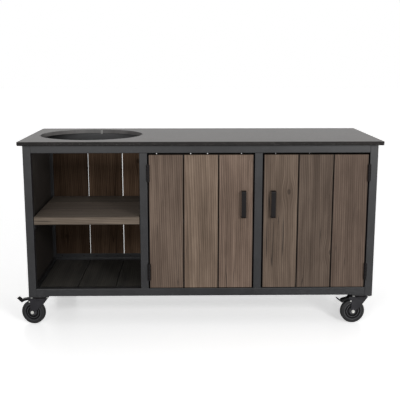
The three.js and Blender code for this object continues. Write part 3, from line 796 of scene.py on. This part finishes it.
def make_stone(name, dark, light, specular, roughness):
    """Dark stone: faint clouds, fine crystals, a little dust and hardly any bump."""
    material, tree, shader = new_material(name, Specular_IOR_Level=specular)
    place = object_place(tree)
    clouds = noise(tree, place, 4.0, 5.0, 0.6)
    grain = noise(tree, place, 240.0, 4.0, 0.7)
    crystals = put(tree, "ShaderNodeTexVoronoi", {"Vector": place, "Scale": 420.0}).outputs["Color"]
    speck = put(tree, "ShaderNodeSeparateColor", {0: crystals}).outputs[0]
    base = ramp(tree, clouds, (0.35, dark), (0.65, light))
    base = blend(tree, spread(tree, grain, 0.35, 0.7, 0.0, 0.4), base, DARK_CRYSTAL)
    base = blend(tree, spread(tree, speck, 0.9, 0.97, 0.0, 0.35), base, LIGHT_CRYSTAL)
    base = blend(tree, use_group(tree, dust, Place=place, Amount=0.05)["Cover"], base, STONE_DUST)
    rough = calc(tree, "MULTIPLY_ADD", grain, 0.14, roughness - 0.07)
    feed(tree, shader, base, rough, grain, 0.05 * MM, 0.35)
    return material


def make_plain(
    name, colour, roughness, specular=0.5, metallic=0.0, scale=300.0, change=0.15, depth=0.05 * MM
):
    """A small part's material: its colour varies a little and its surface is finely uneven."""
    material, tree, shader = new_material(name, Metallic=metallic, Specular_IOR_Level=specular)
    grain = noise(tree, object_place(tree), scale, 3.0, 0.6)
    base = ramp(tree, grain, (0.3, shaded(colour, 1 - change)), (0.7, shaded(colour, 1 + change)))
    rough = calc(tree, "MULTIPLY_ADD", grain, 0.16, roughness - 0.08)
    feed(tree, shader, base, rough, grain, depth)
    return material


charcoal_coat = make_coat("charcoal_powder_coat", srgb(27, 27, 29), 0.38, 0.48)
panel_coat = make_coat("charcoal_sheet_coat", srgb(40, 36, 33), 0.6, 0.2)
liner_coat = make_coat("grey_liner_coat", srgb(90, 88, 87), 0.45, 0.4, rubbed=0.25)
black_coat = make_coat("satin_black_coat", srgb(11, 7, 8), 0.45, 0.18, rubbed=0.01)
fork_coat = make_coat("caster_fork_coat", srgb(37, 36, 40), 0.42, 0.3, rubbed=0.02)
pedal_coat = make_coat("caster_pedal_coat", srgb(7, 7, 8), 0.45, 0.2, rubbed=0.01)
stone = make_stone("honed_dark_stone", srgb(46, 40, 35), srgb(56, 49, 44), 0.35, 0.4)
# Rougher stone with less shine for the sawn edges and underside; its darker colour is painted shade
sawn_shaded_stone = make_stone("sawn_stone_painted_shade", srgb(27, 25, 24), srgb(35, 32, 31), 0.15, 0.62)
door_wood = make_wood("door_wood", srgb(76, 62, 51), srgb(100, 83, 71), srgb(124, 106, 92), knots=0.2)
shelf_wood = make_wood("shelf_wood", srgb(76, 66, 56), srgb(98, 86, 75), srgb(120, 107, 94), "X", 0.2)
rear_wood = make_wood("rear_wood", srgb(60, 46, 35), srgb(82, 65, 51), srgb(104, 85, 68), specular=0.0)
floor_wood = make_wood("floor_wood", srgb(38, 36, 33), srgb(52, 50, 46), srgb(68, 65, 60), "Y")
tyre_rubber = make_plain("tyre_rubber", srgb(29, 29, 30), 0.62, scale=500.0, depth=0.1 * MM, specular=0.35)
wheel_nylon = make_plain("wheel_nylon", srgb(60, 60, 63), 0.35, scale=260.0)
# Near-black nylon in the wheel's recess: painted shade in the hollow behind the fork's leg
recess_shade_nylon = make_plain("recess_shade_nylon", srgb(9, 9, 10), 0.5, scale=260.0, specular=0.15)
# Pale grey for the seam lips: partly rubbed bare steel, partly a painted highlight where the lips catch
# light
lip_steel_and_highlight = make_plain("rubbed_lip_steel_and_highlight", srgb(150, 149, 147), 0.5)
zinc = make_plain("zinc_plate", srgb(220, 220, 216), 0.38, metallic=0.3, scale=380.0, change=0.08)


# Worktop and the liner of its cut-out
def add_liner_round(name, radius, low, high):
    """A round about the middle of the cut-out, fine enough to look smooth."""
    at = (liner_middle.x, liner_middle.y)
    return add_round(name, radius, low, high, at=at, sides=LINER_SIDES)


def add_at_liner(name, angle, inset, low, high, depth, width):
    """A block at an angle round the liner, its middle this far inside the outer face."""
    out = Vector((math.cos(angle), math.sin(angle), 0)) * (liner_radius - inset)
    place = (liner_middle.x + out.x, liner_middle.y + out.y, (low + high) / 2)
    scale = (depth, width, high - low)
    bpy.ops.mesh.primitive_cube_add(size=1, location=place, rotation=(0, 0, angle), scale=scale)
    return fresh(name)


def make_worktop():
    """The slab, honed on top and sawn on its edges and underside, with a chamfer below; its edges and
    underside take a darker copy of the stone, painted shade.
    """
    slab = add_block("honed_stone_top", slab_low, slab_high)
    round_off(slab, SLAB_CHAMFER, 1, lambda a, b: max(a.z, b.z) < slab_low.z + NEAR)
    hole = liner_radius + LINER_GAP
    cut_away(slab, add_liner_round("cutout", hole, slab_low.z - OVERRUN, slab_high.z + OVERRUN))
    soften(slab, "slab")
    slab.data.materials.append(stone)
    slab.data.materials.append(sawn_shaded_stone)
    # Faces that don't look up take the darker stone: painted shade on the edges and underside
    paint(slab, 1, lambda centre, normal: normal.z < HONED_SLANT)
    finish(slab, None, "table", "stone_top", "worktop_slab")


def make_liner():
    """A rolled band whose two ends are turned inwards beside its seam."""
    low, high = liner_low.z, liner_high.z
    band = add_liner_round("cutout_band", liner_radius, low, high)
    with faces(band, looks(2, 1, -1)):
        bpy.ops.mesh.inset(thickness=LINER_WALL)
        bpy.ops.mesh.bridge_edge_loops()
    reach = (low - OVERRUN, high + OVERRUN)
    seam = add_at_liner("seam", SEAM_ANGLE, LINER_WALL / 2, *reach, 2 * LINER_WALL, SEAM_WIDTH)
    soften(cut_away(band, seam), "liner")
    finish(band, liner_coat, "table", "liner_steel", "cutout_liner")
    lips = []
    for side in (-1, 1):
        angle = SEAM_ANGLE + side * LIP_OFFSET / liner_radius
        lip = add_at_liner("lip", angle, LIP_INSET, LIP_LOW, high - LIP_DROP, LIP_DEPTH, LIP_WIDTH)
        lips.append(soften(lip, "lip"))
    # The lips are pale: partly rubbed bare steel, partly painted highlight
    finish(joined("seam_lips", lips), lip_steel_and_highlight, "table", "liner_steel")


# Welded frame
def bearer(wall, side):
    """The angle under one end of the shelf boards, its upright leg against the stile at wall."""
    front, low = FRONT + BEARER_SETBACK, BEARER_TOP - BEARER_LEG
    parts = []
    for reach, bottom in ((BEARER_LEG, BEARER_TOP - ANGLE_WALL), (ANGLE_WALL, low)):
        left, right = sorted((wall, wall - side * reach))
        leg = add_block("leg", (left, front, bottom), (right, REAR_INNER, BEARER_TOP))
        parts.append(soften(leg, "bearer"))
    return parts


def ledge(start):
    """The flat on which the floor boards lie."""
    low = (-INNER, start, LEDGE_TOP - LEDGE_THICKNESS)
    high = (INNER, start + LEDGE_WIDTH, LEDGE_TOP)
    return soften(add_block("ledge", low, high), "flat")


def long_rails(front, rear):
    """The top and bottom rail between the corner stiles."""
    return [
        tube(0, (-INNER, front, TOP - TUBE), (INNER, rear, TOP)),
        tube(0, (-INNER, front, BOTTOM), (INNER, rear, BOTTOM + TUBE)),
    ]


def make_front_frame():
    """Front rails, middle stiles, the cross rails behind them and the right bearer of the shelf"""
    parts = long_rails(FRONT, FRONT_INNER)
    parts.append(ledge(FRONT_INNER))
    for left in STILES:
        right = left + TUBE
        parts += [
            tube(2, (left, FRONT, BOTTOM + TUBE), (right, FRONT_INNER, TOP - TUBE)),
            tube(1, (left, FRONT_INNER, TOP - TUBE), (right, REAR_INNER, TOP)),
        ]
    parts += bearer(STILES[0], 1)
    finish(joined("front_frame_welded", parts), charcoal_coat, "table", "coated_steel", "front_frame")


def make_rear_frame():
    """Two rails, each with the angle that carries the boards, and the posts behind the middle stiles"""
    parts = long_rails(REAR_INNER, REAR)
    low, high = BOTTOM + TUBE, TOP - TUBE
    for start, end, edge in (
        (low, low + ANGLE_WALL, low + REAR_ANGLE_LEG),
        (high - ANGLE_WALL, high, high - REAR_ANGLE_LEG),
    ):
        flat_end = (INNER, REAR_INNER + REAR_ANGLE_LEG, end)
        flat = add_block("flat_leg", (-INNER, REAR_INNER, start), flat_end)
        upright_end = (INNER, REAR_INNER + ANGLE_WALL, max(end, edge))
        upright = add_block("upright_leg", (-INNER, REAR_INNER, min(start, edge)), upright_end)
        parts += [soften(flat, "flat"), soften(upright, "rear_leg")]
    for left in STILES:
        parts.append(tube(2, (left, REAR_INNER - TUBE, LEDGE_TOP), (left + TUBE, REAR_INNER, TOP - TUBE)))
    parts.append(ledge(REAR_INNER - LEDGE_WIDTH))
    finish(joined("rear_frame_welded", parts), charcoal_coat, "table", "coated_steel", "rear_frame")


def make_end_frame(name, side):
    """Corner stiles, side rails and gussets; side is -1 at the left and 1 at the right."""
    low, high = sorted((side * INNER, side * END))
    plate_left, plate_right = sorted((side * END, side * (END - GUSSET_LENGTH)))
    foot = BOTTOM - GUSSET_THICKNESS
    parts = [
        tube(2, (low, FRONT, foot), (high, FRONT_INNER, TOP)),
        tube(2, (low, REAR_INNER, foot), (high, REAR, TOP)),
        tube(1, (low, FRONT_INNER, TOP - TUBE), (high, REAR_INNER, TOP)),
        tube(1, (low, FRONT_INNER, BOTTOM), (high, REAR_INNER, BOTTOM + TUBE)),
    ]
    for start in (FRONT, REAR - GUSSET_DEPTH):
        plate = add_block("gusset", (plate_left, start, foot), (plate_right, start + GUSSET_DEPTH, BOTTOM))
        parts.append(soften(plate, "gusset"))
    if side < 0:
        parts += bearer(-INNER, side)
    finish(joined(f"{name}_welded", parts), charcoal_coat, "table", "coated_steel", name)


def make_panel(name, outward):
    """A pan folded from sheet, its flanges turned outward."""
    low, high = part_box(name)
    pan = add_block(f"{name}_pan", low, high)
    with faces(pan, looks(0, outward)):
        bpy.ops.mesh.inset(thickness=SHEET)
        move = (-outward * (high.x - low.x - SHEET), 0, 0)
        bpy.ops.mesh.extrude_region_move(TRANSFORM_OT_translate={"value": move})
    soften(pan, "pan")
    finish(pan, panel_coat, "table", "coated_steel", name)


# Boards
def mark_board(piece, seed, tone_and_shade=1.0, side_shade=1.0, side_axis=0):
    """Stores the board's seed on its points, and on its faces its tone with painted light and shade.

    The faces that look along the side axis, or aslant to it, are darker by the side shade: painted shade in
    the gaps beside the rear and door boards, and on the front shelf board's top.
    """
    take(piece)
    bpy.ops.geometry.attribute_add(name="board", domain="POINT", data_type="FLOAT")
    seeds = [seed] * len(piece.data.vertices)
    piece.data.attributes["board"].data.foreach_set("value", seeds)
    bpy.ops.geometry.attribute_add(name="tone_and_shade", domain="FACE", data_type="FLOAT")
    sideways = [abs(face.normal[side_axis]) > ASLANT for face in piece.data.polygons]
    tones_and_shades = [tone_and_shade * side_shade if side else tone_and_shade for side in sideways]
    piece.data.attributes["tone_and_shade"].data.foreach_set("value", tones_and_shades)
    return piece


def plank(name, low, high, along, arris, seed, *tones_and_shades):
    """A board with worn long edges; along is 0, 1 or 2."""
    piece = add_block(name, low, high)
    round_off(piece, arris, 3, runs_along(along))
    return mark_board(soften(piece, "plank"), seed, *tones_and_shades)


def notched(piece, low, high):
    """A floor board with notches round the rear posts that it meets."""
    tools = []
    for left in STILES:
        start, end = left - NOTCH_GAP, left + TUBE + NOTCH_GAP
        if end > low.x and start < high.x:
            tool_low = (start, REAR_INNER - TUBE - NOTCH_GAP, low.z - OVERRUN)
            tools.append(add_block("notch", tool_low, (end, REAR_INNER + NOTCH_GAP, high.z + OVERRUN)))
    return cut_away(piece, *tools)


def make_rear_boards():
    """Rear boards, a little swollen on each side, in painted light and shade: lighter towards the right of
    the open bay and darker on their narrow sides
    """
    for number, tone_and_shade in enumerate(REAR_LIGHT_AND_SHADE, 1):
        node = f"rear_board_{number}"
        low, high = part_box(node)
        seed = SEED_STEPS["rear"] * number
        low, high = low - SWELLING, high + SWELLING
        piece = plank(f"{node}_plank", low, high, 2, REAR_ARRIS, seed, tone_and_shade, SIDE_SHADE)
        finish(piece, rear_wood, "table", "rear_wood", node)


def make_floor_boards():
    for number in range(1, BAY_BOARDS + 1):
        node = f"floor_board_{number}"
        low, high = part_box(node)
        piece = plank(f"{node}_plank", low, high, 1, FLOOR_ARRIS, SEED_STEPS["floor"] * number)
        finish(notched(piece, low, high), floor_wood, "table", "floor_wood", node)


def make_cupboard_deck():
    """The cupboard's floor: boards as wide as the rear boards behind them, on two battens"""
    low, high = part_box("floor_deck_cupboard")
    floor_low, floor_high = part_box("floor_board_1")
    parts = []
    for number in range(BAY_BOARDS + 1, len(REAR_LIGHT_AND_SHADE) + 1):
        rear_low, rear_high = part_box(f"rear_board_{number}")
        board_low = Vector((rear_low.x, floor_low.y, floor_low.z))
        board_high = Vector((rear_high.x, floor_high.y, floor_high.z))
        seed = SEED_STEPS["deck"] * number
        piece = plank("deck_plank", board_low, board_high, 1, FLOOR_ARRIS, seed)
        parts.append(notched(piece, board_low, board_high))
    for start in (FRONT_INNER + BATTEN_INSET, REAR_INNER - BATTEN_INSET - BATTEN_WIDTH):
        batten = add_block("batten", (low.x, start, low.z), (high.x, start + BATTEN_WIDTH, floor_low.z))
        parts.append(mark_board(soften(batten, "batten"), BATTEN_SEED))
    finish(joined("cupboard_deck", parts), floor_wood, "table", "floor_wood", "floor_deck_cupboard")


def make_shelf():
    """Shelf boards with well worn edges, in painted shade that darkens them towards the rear and darkens
    the front one on top.
    """
    for number, tone_and_shade in enumerate(SHELF_SHADES, 1):
        node = f"shelf_board_{number}"
        # Painted shade darkens the front board's top against its front edge
        top_shade = SHELF_TOP_SHADE if number == 1 else 1.0
        seed = SEED_STEPS["shelf"] * number
        piece = plank(f"{node}_plank", *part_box(node), 0, SHELF_ARRIS, seed, tone_and_shade, top_shade, 2)
        finish(piece, shelf_wood, "table", "shelf_wood", node)


# Screws, modelled once and copied
def make_screw_pattern():
    """A pan head screw with a hexagon socket, its head pointing to -Y."""
    screw = add_round("screw", SCREW_RADIUS, -SCREW_HEAD, 0, "Y", sides=16)
    step_in(screw, looks(1, -1), *SCREW_STEPS)
    return screw


screw_pattern = make_screw_pattern()


def make_screws(name, places, turn, body):
    """Screws at these places, their heads turned about Z from -Y."""
    parts = [copy_of(screw_pattern, "screw", place, turn) for place in places]
    finish(joined(name, parts), black_coat, body, "black_steel")


def make_rear_screws():
    """Two screws at each end of a rear board, left out behind the posts"""
    places = []
    for number in range(1, len(REAR_LIGHT_AND_SHADE) + 1):
        low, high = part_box(f"rear_board_{number}")
        inset = min(REAR_SCREW_INSET, (high.x - low.x) / 4)
        for x in (low.x + inset, high.x - inset):
            if any(left - SCREW_CLEARANCE < x < left + TUBE + SCREW_CLEARANCE for left in STILES):
                continue
            for z in (BOTTOM + TUBE + REAR_ANGLE_LEG / 2, TOP - TUBE - REAR_ANGLE_LEG / 2):
                places.append((x, REAR_INNER, z))
    make_screws("rear_board_screws", places, 0, "table")


def make_door_screws(side):
    frame_low, frame_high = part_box(f"door_{side}_frame")
    middle = (frame_low.z + frame_high.z) / 2
    places = []
    for number in range(1, BAY_BOARDS + 1):
        low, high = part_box(f"door_{side}_board_{number}")
        for x in (low.x + DOOR_SCREW_INSET, high.x - DOOR_SCREW_INSET):
            for z in (frame_low.z + DOOR_TUBE / 2, middle, frame_high.z - DOOR_TUBE / 2):
                places.append((x, frame_high.y, z))
    make_screws(f"door_{side}_screws", places, math.pi, f"door_{side}")


# Doors
def make_door_boards(side):
    for number, tone_and_shade in enumerate(DOOR_TONES[side], 1):
        node = f"door_{side}_board_{number}"
        seed = SEED_STEPS[f"{side}_door"] * number
        # Painted shade darkens the boards' narrow sides, in the gaps between them
        piece = plank(f"{node}_plank", *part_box(node), 2, DOOR_ARRIS, seed, tone_and_shade, SIDE_SHADE)
        finish(piece, door_wood, f"door_{side}", "door_wood", node)


def make_door_frame(side):
    """Two uprights and three crosspieces of small tube"""
    node = f"door_{side}_frame"
    low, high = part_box(node)
    left, right = low.x + DOOR_TUBE, high.x - DOOR_TUBE
    parts = [
        tube(2, low, (left, high.y, high.z), DOOR_TUBE_RADIUS, 3),
        tube(2, (right, low.y, low.z), high, DOOR_TUBE_RADIUS, 3),
    ]
    for z in (low.z, (low.z + high.z - DOOR_TUBE) / 2, high.z - DOOR_TUBE):
        parts.append(tube(0, (left, low.y, z), (right, high.y, z + DOOR_TUBE), DOOR_TUBE_RADIUS, 3))
    finish(joined(f"{node}_welded", parts), charcoal_coat, f"door_{side}", "coated_steel", node)


def make_handle(side):
    """Bow handle bent from flat strip."""
    node = f"door_{side}_handle"
    low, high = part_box(node)
    middle = (low.z + high.z) / 2
    half = (high.z - low.z) / 2
    bend_y, bend_z = HANDLE_BEND - HANDLE_REACH, half - HANDLE_BEND
    outer = [(0, half), *arc(bend_y, bend_z, HANDLE_BEND, 90, 180)]
    outer += [*arc(bend_y, -bend_z, HANDLE_BEND, 180, 270), (0, -half)]
    bend = HANDLE_BEND - HANDLE_STRIP
    inner = [(0, HANDLE_STRIP - half), *arc(bend_y, -bend_z, bend, 270, 180)]
    inner += [*arc(bend_y, bend_z, bend, 180, 90), (0, half - HANDLE_STRIP)]
    outline = [(high.y + y, middle + z) for y, z in outer + inner]
    bow = cut_plate(f"{node}_bow", outline, low.x, high.x, "YZ")
    finish(soften(bow, "handle"), black_coat, f"door_{side}", "black_steel", node)


def make_hinge(side, level):
    """Butt hinge: five knuckles on a pin, and a leaf for the stile and one for the door."""
    sign = -1 if side == "left" else 1
    frame_node = f"hinge_{side}_{level}_frame_leaf"
    door_node = f"hinge_{side}_{level}_door_leaf"
    low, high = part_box(frame_node)
    door_low, door_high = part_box(f"door_{side}_frame")
    at = ((door_low.x if sign < 0 else door_high.x) + sign * DOOR_GAP / 2, low.y + KNUCKLE)
    clear = at[1] + KNUCKLE + HINGE_CLEARANCE
    pitch = HINGE_LENGTH / KNUCKLES
    for node, towards, first, body in (
        (frame_node, sign, 0, "table"),
        (door_node, -sign, 1, f"door_{side}"),
    ):
        face = at[0] + towards * DOOR_GAP / 2
        left, right = sorted((face, face - towards * LEAF))
        leaf = add_block("leaf", (left, clear, low.z), (right, FRONT + LEAF_DEPTH, high.z))
        parts = [soften(leaf, "leaf")]
        for number in range(first, KNUCKLES, 2):
            start = low.z + number * pitch + KNUCKLE_GAP / 2
            end = start + pitch - KNUCKLE_GAP
            parts.append(soften(add_round("knuckle", KNUCKLE, start, end, at=at), "knuckle"))
            parts.append(add_block("tongue", (left, at[1], start), (right, clear, end)))
        if first == 0:
            for end, out in ((low.z, -1), (high.z, 1)):
                span = sorted((end - out * PIN_END_ROOT, end + out * PIN_END_HEIGHT))
                cap = add_round("pin_end", PIN_END_RADIUS, *span, at=at, sides=24)
                parts.append(soften(cap, "pin_end"))
        finish(joined(f"{node}_rolled", parts), black_coat, body, "black_steel", node)


def make_door(side):
    make_door_boards(side)
    make_door_frame(side)
    make_handle(side)
    make_hinge(side, "lower")
    make_hinge(side, "upper")


def make_catch():
    """Double magnetic catch: a steel plate and two magnets in plastic housings."""
    low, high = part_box("door_catch")
    plate_high = (high.x, FRONT_INNER + CATCH_PLATE, high.z)
    parts = [soften(add_block("catch_plate", (low.x, FRONT_INNER, low.z), plate_high), "flat")]
    for start in (low.x, high.x - MAGNET_WIDTH):
        housing_low = (start, low.y + MAGNET_SETBACK, low.z)
        housing = add_block("magnet", housing_low, (start + MAGNET_WIDTH, high.y, high.z))
        parts.append(soften(housing, "magnet"))
    finish(joined("double_door_catch", parts), black_coat, "table", "black_steel", "door_catch")


# Casters
def over_tyre(height, degrees):
    """Place in X and Z at an angle round the axle, some millimetres over the tyre"""
    angle = math.radians(degrees)
    radius = WHEEL + height * MM
    return (-TRAIL + radius * math.cos(angle), WHEEL + radius * math.sin(angle))


def model_wheel():
    """Solid rubber tyre on a nylon core with a stepped rim, a ribbed recess and a raised hub; the recess is
    painted near black as shade
    """
    wheel = add_round("wheel", WHEEL, -TYRE_WIDTH / 2, TYRE_WIDTH / 2, "Y", (-TRAIL, WHEEL), 72)
    round_off(wheel, TYRE_SHOULDER, 6, is_level(1))
    step_in(wheel, looks(1, 1, -1), *TYRE_STEPS, *RIM_STEPS, *HUB_STEPS)
    for material in (tyre_rubber, wheel_nylon, recess_shade_nylon):
        wheel.data.materials.append(material)

    def within(centre, radius):
        return math.hypot(centre.x + TRAIL, centre.z - WHEEL) < radius

    paint(wheel, 1, lambda centre, normal: within(centre, CORE_RADIUS))
    # The recess takes the near-black nylon: painted shade
    paint(wheel, 2, lambda centre, normal: within(centre, RECESS_RADIUS) and abs(centre.y) < RECESS_HALF)
    return wheel


def model_fork():
    """Pressed steel fork: a head with its ball race, two legs and the ears of the pedal's pivot"""
    pivot = over_tyre(*PEDAL_PIVOT)
    outline = [
        (HEAD_RADIUS, HEAD_HIGH),
        (HEAD_RADIUS, HEAD_LOW),
        (LEG_WAIST - TRAIL, (WHEEL + HEAD_LOW) / 2),
        *arc(-TRAIL, WHEEL, LEG_END, 0, -180, 20),
        (-TRAIL - LEG_END, pivot[1] - EAR_DROP),
        *arc(*pivot, EAR_RADIUS, 180, 90, 10),
        (-HEAD_RADIUS, HEAD_HIGH),
    ]
    head = add_round("head", HEAD_RADIUS, HEAD_LOW, HEAD_HIGH, sides=64)
    step_in(head, looks(2, 1), *HEAD_STEPS)
    parts = [soften(head, "fork_head")]
    for low, high in ((LEG_INNER, LEG_OUTER), (-LEG_OUTER, -LEG_INNER)):
        parts.append(soften(cut_plate("leg", outline, low, high), "fork_leg"))
    reach = LEG_OUTER + PIVOT_END
    parts.append(soften(add_round("pivot", PIVOT_RADIUS, -reach, reach, "Y", pivot, 20), "pin"))
    return joined("fork", parts)


def model_axle():
    """Axle bolt with a hexagon head at one end and a nut at the other, and the rivets of the ears"""
    axle = (-TRAIL, WHEEL)
    start, end = -LEG_OUTER - AXLE_BOLT_END, LEG_OUTER + AXLE_NUT_END
    parts = [add_round("shank", AXLE_RADIUS, start, end, "Y", axle, 24)]
    for out in (-1, 1):
        for kind, (radius, near, far, sides) in LEG_FITTINGS.items():
            start, end = sorted(out * (LEG_OUTER + height * MM) for height in (near, far))
            at = over_tyre(*EAR_RIVET) if kind == "rivet" else axle
            parts.append(soften(add_round(kind, radius * MM, start, end, "Y", at, sides), kind))
    return joined("axle", parts)


def model_pedal():
    """Brake pedal: a body over the tyre and an upturned blade with grip ribs across it"""
    outline = arc(*over_tyre(*PEDAL_PIVOT), PEDAL_EYE, 90, -90)
    front, rear = Vector(SOLE_FRONT), Vector(SOLE_REAR)
    outline += [over_tyre(*front.lerp(rear, step / SOLE_STEPS)) for step in range(SOLE_STEPS + 1)]
    tip, root = over_tyre(*BLADE_TIP_HIGH), over_tyre(*BLADE_ROOT)
    outline += [over_tyre(*BLADE_TIP_LOW), tip, root, over_tyre(*PEDAL_BACK)]
    parts = [soften(cut_plate("pedal", outline, -PEDAL_HALF, PEDAL_HALF), "pedal")]
    for share in RIB_SHARES:
        spot = Vector(tip).lerp(Vector(root), share)
        parts.append(soften(add_round("rib", RIB_RADIUS, -RIB_HALF, RIB_HALF, "Y", spot, 12), "rib"))
    return joined("pedal", parts)


def model_caster_plate():
    """Mounting plate with rounded corners and its race cup"""
    half_x, half_y = PLATE_HALF_LENGTH - PLATE_CORNER, PLATE_HALF_WIDTH - PLATE_CORNER
    outline = []
    for start, x, y in ((-90, 1, -1), (0, 1, 1), (90, -1, 1), (180, -1, -1)):
        outline += arc(x * half_x, y * half_y, PLATE_CORNER, start, start + 90, 6)
    plate = soften(cut_plate("plate", outline, PLATE_LOW, PLATE_HIGH, "XY"), "flat")
    cup = add_round("cup", CUP_RADIUS, HEAD_HIGH + CUP_LAP, PLATE_LOW + CUP_LAP, sides=64)
    step_in(cup, looks(2, -1), *CUP_STEPS)
    round_off(cup, CUP_ARRIS, 3, lambda a, b: max(a.z, b.z) < HEAD_HIGH + CUP_LAP + NEAR)
    return joined("caster_plate", [plate, cup])


def model_plate_bolts():
    """Hexagon bolts of the plate, and the king nut below the fork's head"""
    parts = []
    for at in ((x, y) for x in (-BOLT_X, BOLT_X) for y in (-BOLT_Y, BOLT_Y)):
        washer = add_round("washer", WASHER_RADIUS, PLATE_LOW - WASHER, PLATE_LOW, at=at)
        top = PLATE_LOW - WASHER + WASHER_LAP
        head = add_round("hexagon", BOLT_RADIUS, PLATE_LOW - BOLT_HEAD, top, at=at, sides=6)
        parts += [soften(washer, "washer"), soften(head, "hexagon")]
    parts.append(soften(add_round("nut", NUT_RADIUS, NUT_LOW, NUT_HIGH, sides=6), "nut"))
    parts.append(add_round("kingpin", KINGPIN_RADIUS, KINGPIN_LOW, PLATE_LOW))
    return joined("plate_bolts", parts)


def make_casters():
    """Models each part of a caster once and copies it to the four corners."""
    models = {
        "wheel": model_wheel(),
        "fork": model_fork(),
        "axle": model_axle(),
        "pedal": model_pedal(),
        "plate": model_caster_plate(),
        "bolts": model_plate_bolts(),
    }
    for corner, corner_turn in TURNS.items():
        low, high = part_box(f"caster_plate_{corner}")
        place = ((low.x + high.x) / 2, (low.y + high.y) / 2, 0)

        def fit(part, name, material, body, slot, *nodes):
            turn = 0 if body == "table" else corner_turn
            finish(copy_of(models[part], f"{name}_{corner}", place, turn), material, body, slot, *nodes)

        fit("plate", "swivel_plate", black_coat, "table", "black_steel", f"caster_plate_{corner}")
        fit("bolts", "plate_bolts", zinc, "table", "black_steel")
        fit("fork", "pressed_fork", fork_coat, f"fork_{corner}", "black_steel", f"caster_fork_{corner}")
        fit("axle", "axle_bolt", zinc, f"fork_{corner}", "black_steel")
        fit("wheel", "solid_wheel", None, f"wheel_{corner}", "wheel_rubber", f"caster_wheel_{corner}")
        fit("pedal", "foot_brake", pedal_coat, f"brake_{corner}", "black_steel", f"brake_pedal_{corner}")
    for model in models.values():
        bpy.data.objects.remove(model)


make_worktop()
make_liner()
make_front_frame()
make_rear_frame()
make_end_frame("left_end_frame", -1)
make_end_frame("right_end_frame", 1)
make_panel("side_panel_left", -1)
make_panel("side_panel_right", 1)
make_panel("divider_panel", 1)
make_rear_boards()
make_floor_boards()
make_cupboard_deck()
make_shelf()
make_door("left")
make_door("right")
make_catch()
make_rear_screws()
make_door_screws("left")
make_door_screws("right")
make_casters()
bpy.data.objects.remove(screw_pattern)


# Studio
WHITE = (1, 1, 1, 1)

# Strength of the sky where it lights the table; where it is seen, it is 1
SKY = 0.38

# The floor is a square of this size. It reaches further back than forward.
FLOOR_SIZE = 40
FLOOR_SETBACK = 8
FLOOR_GREY = srgb(216, 216, 216)
FLOOR_GLOW = 0.46

# Name, place, what it points at, width and height, and watts of each softbox
SOFTBOXES = (
    ("high_right", (2.2, -4.3, 2.3), (0, 0, 0.6), (1.2, 0.7), 62),
    ("high_left", (-1.4, -4.4, 2.3), (0, 0, 0.6), (1.2, 0.7), 38),
    ("low_right", (2.0, -4.3, 1.3), (0.3, 0, 0.6), (0.7, 0.4), 36),
    ("low_left", (-1.15, -4.4, 1.3), (-0.3, 0, 0.6), (0.7, 0.4), 17),
)

# Camera, fitted to the photo: place, degrees that it looks down and turns to the right, and focal length
CAMERA_PLACE = (-0.0682, -3.970, 1.3672)
CAMERA_DROP = 10.932
CAMERA_TURN = 0.986
FOCAL_PIXELS = 744.57
PHOTO_PIXELS = 400
SENSOR = 36


def make_floor():
    """A grey floor that keeps the table's shadow; the camera sees it as glowing white."""
    bpy.ops.object.select_all(action="DESELECT")
    bpy.ops.mesh.primitive_plane_add(size=FLOOR_SIZE, location=(0, FLOOR_SETBACK, 0))
    floor = fresh("studio_floor")
    material, tree, shader = new_material("studio_floor", Roughness=0.3, Specular_IOR_Level=0.25)
    seen = tree.nodes.new("ShaderNodeLightPath").outputs["Is Camera Ray"]
    tree.links.new(blend(tree, seen, FLOOR_GREY, WHITE), shader.inputs["Base Color"])
    off = put(tree, "ShaderNodeEmission", {"Strength": 0.0})
    glow = put(tree, "ShaderNodeEmission", {"Color": WHITE, "Strength": FLOOR_GLOW})
    light = put(tree, "ShaderNodeMixShader", {0: seen, 1: off.outputs[0], 2: glow.outputs[0]})
    both = put(tree, "ShaderNodeAddShader", {0: shader.outputs[0], 1: light.outputs[0]})
    output = next(node for node in tree.nodes if node.type == "OUTPUT_MATERIAL")
    tree.links.new(both.outputs[0], output.inputs[0])
    floor.data.materials.append(material)


def make_world():
    """A white sky, weaker where it lights the table than where the camera or a shine shows it."""
    world = bpy.data.worlds.new("studio")
    bpy.context.scene.world = world
    world.use_nodes = True
    tree = world.node_tree
    tree.nodes.clear()
    path = tree.nodes.new("ShaderNodeLightPath").outputs
    seen = calc(tree, "ADD", path["Is Camera Ray"], path["Is Glossy Ray"])
    strength = calc(tree, "MULTIPLY_ADD", seen, 1 - SKY, SKY)
    light = put(tree, "ShaderNodeBackground", {"Color": WHITE, "Strength": strength})
    put(tree, "ShaderNodeOutputWorld", {0: light.outputs[0]})


def add_softbox(name, place, aim, size, power):
    bpy.ops.object.select_all(action="DESELECT")
    bpy.ops.object.light_add(type="AREA", location=place)
    lamp = bpy.context.object
    lamp.name = name
    lamp.data.shape = "RECTANGLE"
    lamp.data.size, lamp.data.size_y = size
    lamp.data.energy = power
    lamp.rotation_euler = (Vector(aim) - Vector(place)).to_track_quat("-Z", "Y").to_euler()


def make_camera():
    bpy.ops.object.select_all(action="DESELECT")
    bpy.ops.object.camera_add(location=CAMERA_PLACE)
    camera = bpy.context.object
    camera.name = "photo_camera"
    camera.rotation_euler = (math.radians(90 - CAMERA_DROP), 0, math.radians(-CAMERA_TURN))
    camera.data.sensor_width = SENSOR
    camera.data.lens = FOCAL_PIXELS * SENSOR / PHOTO_PIXELS
    bpy.context.scene.camera = camera


make_floor()
make_world()
for softbox in SOFTBOXES:
    add_softbox(*softbox)
make_camera()
bpy.context.scene.view_settings.view_transform = "Standard"
